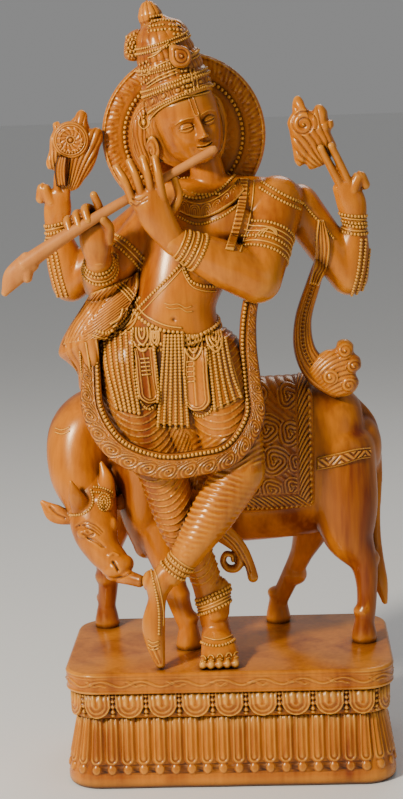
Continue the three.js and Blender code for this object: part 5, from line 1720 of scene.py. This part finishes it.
def cloth_relief(x, z):
    """Overlapping leaf strokes along the edges, and rolled leaves in fine turns over the field."""
    side, foot = CLOTH_SIDE - x, (z - CLOTH_FOOT) * 0.95
    border = np.minimum(side, foot)
    along = np.where(side < foot, z, 1.2 * x)
    leaf = (along + 0.9 * border + 0.04 * border**2) / 2.5
    inside = smooth_step(border, 0, 3) * (1 - smooth_step(border, 14, 17))
    strokes = 2.2 * ripple(leaf, 0.6) * inside
    knobs = bead_row(along, border, 1.8, 2.4, 6.9)
    line = 1.3 * bump_at(border - 17.6, 0.8)
    field = 1.0 * ripple((x + z) / 3.4 + 1.3 * np.sin(z / 11), 0.8)
    for middle_x, middle_z, size in ROLLED_LEAVES:
        away, turn = np.hypot(x - middle_x, z - middle_z), np.arctan2(x - middle_x, z - middle_z)
        rolled = 1.5 * ripple(away / 1.55 - turn + 0.8 * np.sin(turn * 3), 0.8)
        field = np.where(away < size, rolled + 1.5 * bump_at(away, 1.6), field)
    return strokes + knobs + line + field * smooth_step(border, 18, 19)


def belt_relief(across, along, half, length):
    scroll = 1.9 * ripple(along / 2.4 + 0.9 * np.sign(np.sin(along / 4.8)) * across / 2, 0.8)
    return 1.8 * bump_at(np.abs(across) - half + 1.4, 0.9) + scroll * (np.abs(across) < half - 3)


back_lay = barrel_lay(CLOTH_FROM, CLOTH_TO, CLOTH_REACH, 3, cloth_relief)
place_wrapped("back_cloth", 230, 500, back_lay, 0.34)
laid_sheet("rump_belt", skins("cow"), RUMP_BELT, 1.6, belt_relief, 0.8)


# The cow wears a string of beads under its eye and over its brow, with a round jewel between the horns. Two
# lines are cut across the fold of its neck. All are one with the head and the neck.
BROW_JEWEL = (104, 502)
BROW_JEWEL_RINGS = (7.5, 4.8, 2.2)
CHEEK_STRING = [(70, 515), (77, 515), (85, 513), (91, 507), (93, 499), (91, 490)]
BROW_STRING = [(94, 487), (103, 488), (112, 492)]
NECK_FOLD = [(55, 428), (62, 430), (70, 427)]
head_strings = [(1.9, CHEEK_STRING)]
for size in BROW_JEWEL_RINGS:
    turns = np.linspace(0, 2 * math.pi, 13)
    ring = [(0.8 * size * math.sin(turn), 1.15 * size * math.cos(turn)) for turn in turns]
    head_strings.append((1.6, shifted(ring, *BROW_JEWEL)))
head_strings += [(1.7, shifted(BROW_STRING, 0, shift)) for shift in (0, 5)]
neck_lines = [(0.9, shifted(NECK_FOLD, 0, shift)) for shift in (0, 4)]
heap("halter", seen_strings(skins("cow", "cow_head"), head_strings, neck_lines))


# Bracelets, armlets and shoulder bands: rows of beads with plain lines between them, and bead ropes down the
# outer side of the back forearms. They are raised out of the arms' own wood.
UPPER_ARM, FOREARM = 0, 1
# which arm, which half of it, where the bead rows and the lines lie along it, and how far out its skin may
# lie
BRACELETS = [
    ("front right", FOREARM, (0.7, 0.79, 0.88), (0.75, 0.84, 0.93), 36),
    ("back right", FOREARM, (0.84, 0.97, 1.03, 1.16), (0.9, 1.1), 22),
    ("back left", FOREARM, (0.84, 0.97, 1.1), (0.9, 1.04), 22),
    ("front left", FOREARM, (0.55, 0.76, 0.86), (0.64,), 26),
    ("front right", UPPER_ARM, (0.42, 0.6, 0.72), (0.48, 0.54, 0.66), 36),
    ("front left", UPPER_ARM, (0.45, 0.57), (0.51,), 36),
]
SHOULDER_STRINGS = [
    (2.0, [(303, 203), (312, 214), (322, 225), (333, 238)]),
    (2.2, [(262, 182), (275, 190), (288, 197), (302, 203)]),
    (2.2, [(260, 188), (273, 196), (286, 203), (300, 209)]),
]
RIGHT_FOREARM_ROPE = [(370, 240), (369, 255), (366, 276), (360, 297)]
LEFT_FOREARM_ROPE = [(45, 243), (48, 256), (52, 275), (58, 296)]
FIRST_ARMLET_CURL = [(255, 238), (262, 230), (271, 229), (277, 236)]
LAST_ARMLET_CURL = [(263, 234), (270, 230 - 8 / 3), (275, 229), (277, 235)]
bare = skins("body", "hands")
arm_jewels = []
for arm, half, bead_rows, line_rows, reach in BRACELETS:
    start, end = (np.array(joint, dtype=float) for joint in ARMS[arm][half : half + 2])
    for share in bead_rows:
        arm_jewels += ring_beads(bare, start + (end - start) * share, end - start, 2.2, reach)
    for share in line_rows:
        arm_jewels += ring_line(bare, start + (end - start) * share, end - start, 1.3, reach)
arm_strings = list(SHOULDER_STRINGS)
for shift in (0, 4.4, 8.8):
    arm_strings.append((2.3, shifted(RIGHT_FOREARM_ROPE, -shift, 0)))
    arm_strings.append((2.3, shifted(LEFT_FOREARM_ROPE, shift, 0)))
armlet_lines = [(1.2, curl) for curl in between(FIRST_ARMLET_CURL, LAST_ARMLET_CURL, 3)]
heap("arm_jewels", arm_jewels + seen_strings(bare, arm_strings, armlet_lines))


# The upper end of the ribbon lies on the upper arm, over the bare wood beside the armlet, with folds cut
# along it. It is one with the arm.
RIBBON_TOP = (
    [(317, 219), (315, 240), (314, 262), (309, 284)],
    [(323, 219), (330, 240), (329, 262), (319, 286)],
)
laid_sheet("ribbon_top", skins("body"), RIBBON_TOP, 2.4, long_folds, 0.8)


# Necklaces and chest strings: a pearl collar over a wide scroll band, a strap of short bars across the
# breast, a pearl band under the chest, and a string slung across the belly. Two thin lines mark the belly.
COLLAR = (
    [(179, 212), (196, 219), (214, 216), (231, 206), (246, 190)],
    [(180, 197), (196, 202), (212, 199), (226, 190), (238, 177)],
)
STRAP = ([(239, 178), (237, 200), (232, 226), (224, 250)], [(249, 178), (247, 202), (241, 228), (234, 252)])
THROAT, THROAT_AXIS = (-4, -30, 553), (0.1, -0.45, 1)
NECK_STRINGS = [
    (2.3, [(178, 192), (190, 198), (206, 197), (222, 188), (236, 174)]),
    (1.9, [(178, 216), (196, 224), (215, 220), (233, 209), (248, 194)]),
    (2.3, [(183, 262), (186, 272), (191, 281), (203, 286), (216, 286)]),
    (2.3, [(183, 262), (170, 276), (152, 294), (134, 313), (116, 330)]),
]
NECK_LINES = [
    (1.0, [(254, 180), (252, 204), (247, 229), (240, 252)]),
    (0.9, [(182, 268), (186, 278), (193, 287), (205, 291), (216, 291)]),
    (0.9, [(186, 264), (173, 279), (155, 298), (137, 317), (119, 334)]),
    (0.6, [(164, 303), (170, 305), (178, 304), (186, 308), (192, 306)]),
    (0.6, [(166, 307), (172, 309), (180, 308), (187, 312), (193, 311)]),
]


def collar_relief(across, along, half, length):
    """Scallops side by side, each with two arcs and a bead in it, between two lines."""
    cell = (along / 12.6 % 1 - 0.5) * 12.6
    top = across + half * 0.1
    away = np.where(top > 0, np.hypot(cell, top * 0.8), np.abs(cell))
    loops = 1.6 * bump_at(away - 5.3, 0.75) + 1.5 * bump_at(away - 3.2, 0.7) + 1.6 * bump_at(away - 1.0, 0.8)
    return loops * (np.abs(across) < half - 2.4) + 1.4 * bump_at(np.abs(across) - half + 1.8, 0.9)


def bars_relief(across, along, half, length):
    return 1.9 * ripple(along / 1.55, 0.7) * (np.abs(across) < half - 1.2)


chest = skins("body")
laid_sheet("collar", chest, COLLAR, 3.0, collar_relief, 0.8)
laid_sheet("strap", chest, STRAP, 1.5, bars_relief, 0.7)
throat_beads = ring_beads(chest, THROAT, THROAT_AXIS, 2.3, 34)
heap("neck_jewels", throat_beads + seen_strings(chest, NECK_STRINGS, NECK_LINES))


# The jewels of the feet, raised out of the wood: anklets of bead rows and lines on both legs, bead strings
# over the insteps and down the crossed foot, and a curl on each toe.
ANKLE = (-15, -47)
ANKLET_AXIS = (-0.42, 0.12, 1)
ANKLET_ROWS, ANKLET_LINES = (76, 71, 58), (66.5, 62.5)
CROSSED_SHIN_END, CROSSED_SHIN_WAY = np.array((-44, -92, 134)), np.array((-18, 0, -24))
FOOT_STRINGS = [
    (1.9, [(151, 569), (154, 583), (157, 597), (159, 612), (159, 634)]),
    (2.2, [(201, 642), (208, 645), (218, 646), (229, 643), (239, 636)]),
]
FOOT_LINES = [
    (1.0, [(154, 568), (158, 581), (161, 595), (163, 610), (163, 626)]),
    (1.1, [(204, 637), (216, 640), (229, 637), (238, 630)]),
]
INSTEP_LINE = [(148, 640), (153, 643), (159, 641)]
TOES = [(203, 658), (211, 657), (220, 656), (229, 655), (237, 654)]
TOE_CURL = [(-3, 2), (-1.5, -1.5), (1.5, -1.5), (3, 2)]
TOE_BEADS = [(-2, 4), (0, 3), (2, 4)]
ankles = skins("legs")
leg_jewels = []
for height in ANKLET_ROWS:
    leg_jewels += ring_beads(ankles, (*ANKLE, height), ANKLET_AXIS, 2.4, 25)
for height in ANKLET_LINES:
    leg_jewels += ring_line(ankles, (*ANKLE, height), ANKLET_AXIS, 1.2, 25)
for share in (0.4, 0.62, 0.84):
    centre = CROSSED_SHIN_END + CROSSED_SHIN_WAY * share
    leg_jewels += ring_beads(ankles, centre, -CROSSED_SHIN_WAY, 2.3, 24)
    leg_jewels += ring_line(ankles, centre + np.array((2.6, 0, 3.4)), -CROSSED_SHIN_WAY, 1.1, 24)
foot_strings = FOOT_STRINGS + [(1.3, shifted(TOE_BEADS, *toe)) for toe in TOES]
foot_lines = FOOT_LINES + [(1.1, shifted(TOE_CURL, *toe)) for toe in TOES]
foot_lines += [(1.0, shifted(INSTEP_LINE, 0, shift)) for shift in (0, 3.6, 7)]
heap("leg_jewels", leg_jewels + seen_strings(ankles, foot_strings, foot_lines))


# Hair falls beside the face in two masses of fine strands, with the ear cut over the near one. Lines edge the
# brow, small coils and a short bead drop hang at the ear, and a ring of pearls runs round the halo's field.
LEFT_HAIR = [
    (147, 98), (139, 104), (133, 114), (130, 126), (131, 140), (133, 153), (138, 164), (145, 172), (153, 172),
    (160, 160), (160, 140), (158, 120), (155, 104),
]
RIGHT_HAIR = [
    (211, 92), (219, 97), (225, 110), (227, 126), (226, 142), (222, 156), (214, 163), (206, 150), (206, 120),
]
EAR = ([(147, 136), (147, 150), (151, 165)], [(158, 134), (160, 148), (161, 162)])
HAIR_BEADS = [(3.6, [(144.4, 122), (144.6, 123)]), (1.8, [(144, 114), (144, 117)])]
EAR_DROP = (2.6, [(154, 165), (155, 168), (155, 172)])
HAIR_LINES = [
    (1.2, [(149, 121), (155, 113), (162, 107), (173, 101), (184, 97), (197, 95), (209, 92)]),
    (1.0, [(140, 116), (139, 124), (144, 129), (149, 125), (150, 118)]),
]
FIRST_COIL = [(149, 140), (153, 136), (157, 141), (159, 150)]
LAST_COIL = [(152, 149), (157.5, 145), (157, 150), (159, 159)]
PEARL_RING, PEARL_RADIUS, PEARL_PITCH = 68, 2.4, 5.6  # the ring's radius, a pearl's, and their pitch


def ear_relief(across, along, half, length):
    """An ear with a rolled rim, a hollow and a lobe; what lies outside its edge sinks away."""
    away = np.hypot(across / half, (along - length / 2) / (length / 2))
    turn = np.arctan2(across, along - length / 2)
    rim = 1.4 * bump_at(away - 0.8, 0.14) + 1.1 * ripple(away * 7 - turn / 2) * (away < 0.7)
    return rim - 20 * smooth_step(away, 0.96, 1.04)


def strand_relief(x, z, share):
    """Fine wavy strands that run down beside the face, inside two long lines along the outer edge."""
    wave = 0.9 * np.sin(z / 6 + 2 * np.sin(x / 7))
    strands = 0.9 * ripple((x + wave * 1.4) / 1.5 + z / 9, 0.8)
    return strands + 1.5 * bump_at(share - 0.93, 0.035) + 1.2 * bump_at(share - 0.8, 0.03)


cut_plate("left_hair", LEFT_HAIR, -34, 22, 2, strand_relief, 200, 60)
cut_plate("right_hair", RIGHT_HAIR, -22, 22, 2, strand_relief, 160, 44)
laid_sheet("ear", skins("head", "hair", "left_hair"), EAR, 3.0, ear_relief, 0.6)
crowned = skins("head", "hair", "halo", "crown", "left_hair", "right_hair")
coils = [(0.9, coil) for coil in between(FIRST_COIL, LAST_COIL, 3)]
pearl_ring = []
for turn in np.linspace(0, 2 * math.pi, 90):
    across, up = PEARL_RING * math.sin(turn), PEARL_RING * math.cos(turn)
    pearl_ring.append((HALO_CENTRE[0] + across, -1.4, HALO_CENTRE[2] + up))
pearls = bead_parts(evenly(pearl_ring, PEARL_PITCH)[:-1], PEARL_RADIUS)
heap("hair_strings", pearls + seen_strings(crowned, [*HAIR_BEADS, EAR_DROP], HAIR_LINES + coils))


# The flute is a separate rod of paler wood, plain where it is played and cut as a leaf at its lower end. It
# lies loose in the front hands.
# Its hollow colour is painted shade.
pale_wood = wood_finish(
    "pale_wood", 0.0003, 0.35,
    Pale_wood=(0.6, 0.22, 0.05, 1), Dark_wood=(0.4, 0.11, 0.02, 1), Hollow_stain=(0.16, 0.03, 0.004, 1),
    Banding=0.6, Stain_strength=0.8, Smoothness=0.5,
)
FLUTE = [[2, -93, 592.5], [-60, -101, 560], [-125, -114, 526], [-180, -119, 494], [-212, -120, 473]]
FLUTE_LEAF = [[-204, -120, 478], [-222, -120, 462], [-234, -120, 443]]
FLUTE_LEAF_LOBE = [[-208, -120, 470], [-208, -120, 460]]
flute_form = bmesh.new()
add_limb(flute_form, FLUTE, [5, 5, 6, 8, 10], dome=2, sides=32, steps=60)
add_limb(flute_form, FLUTE_LEAF, [[12, 8], [12, 7], [4, 3]])
add_limb(flute_form, FLUTE_LEAF_LOBE, [[9, 8], [6, 6]])
place_mesh("flute_rod", carved("flute_rod", flute_form, 1.0, 2), 0.5, pale_wood, "flute")
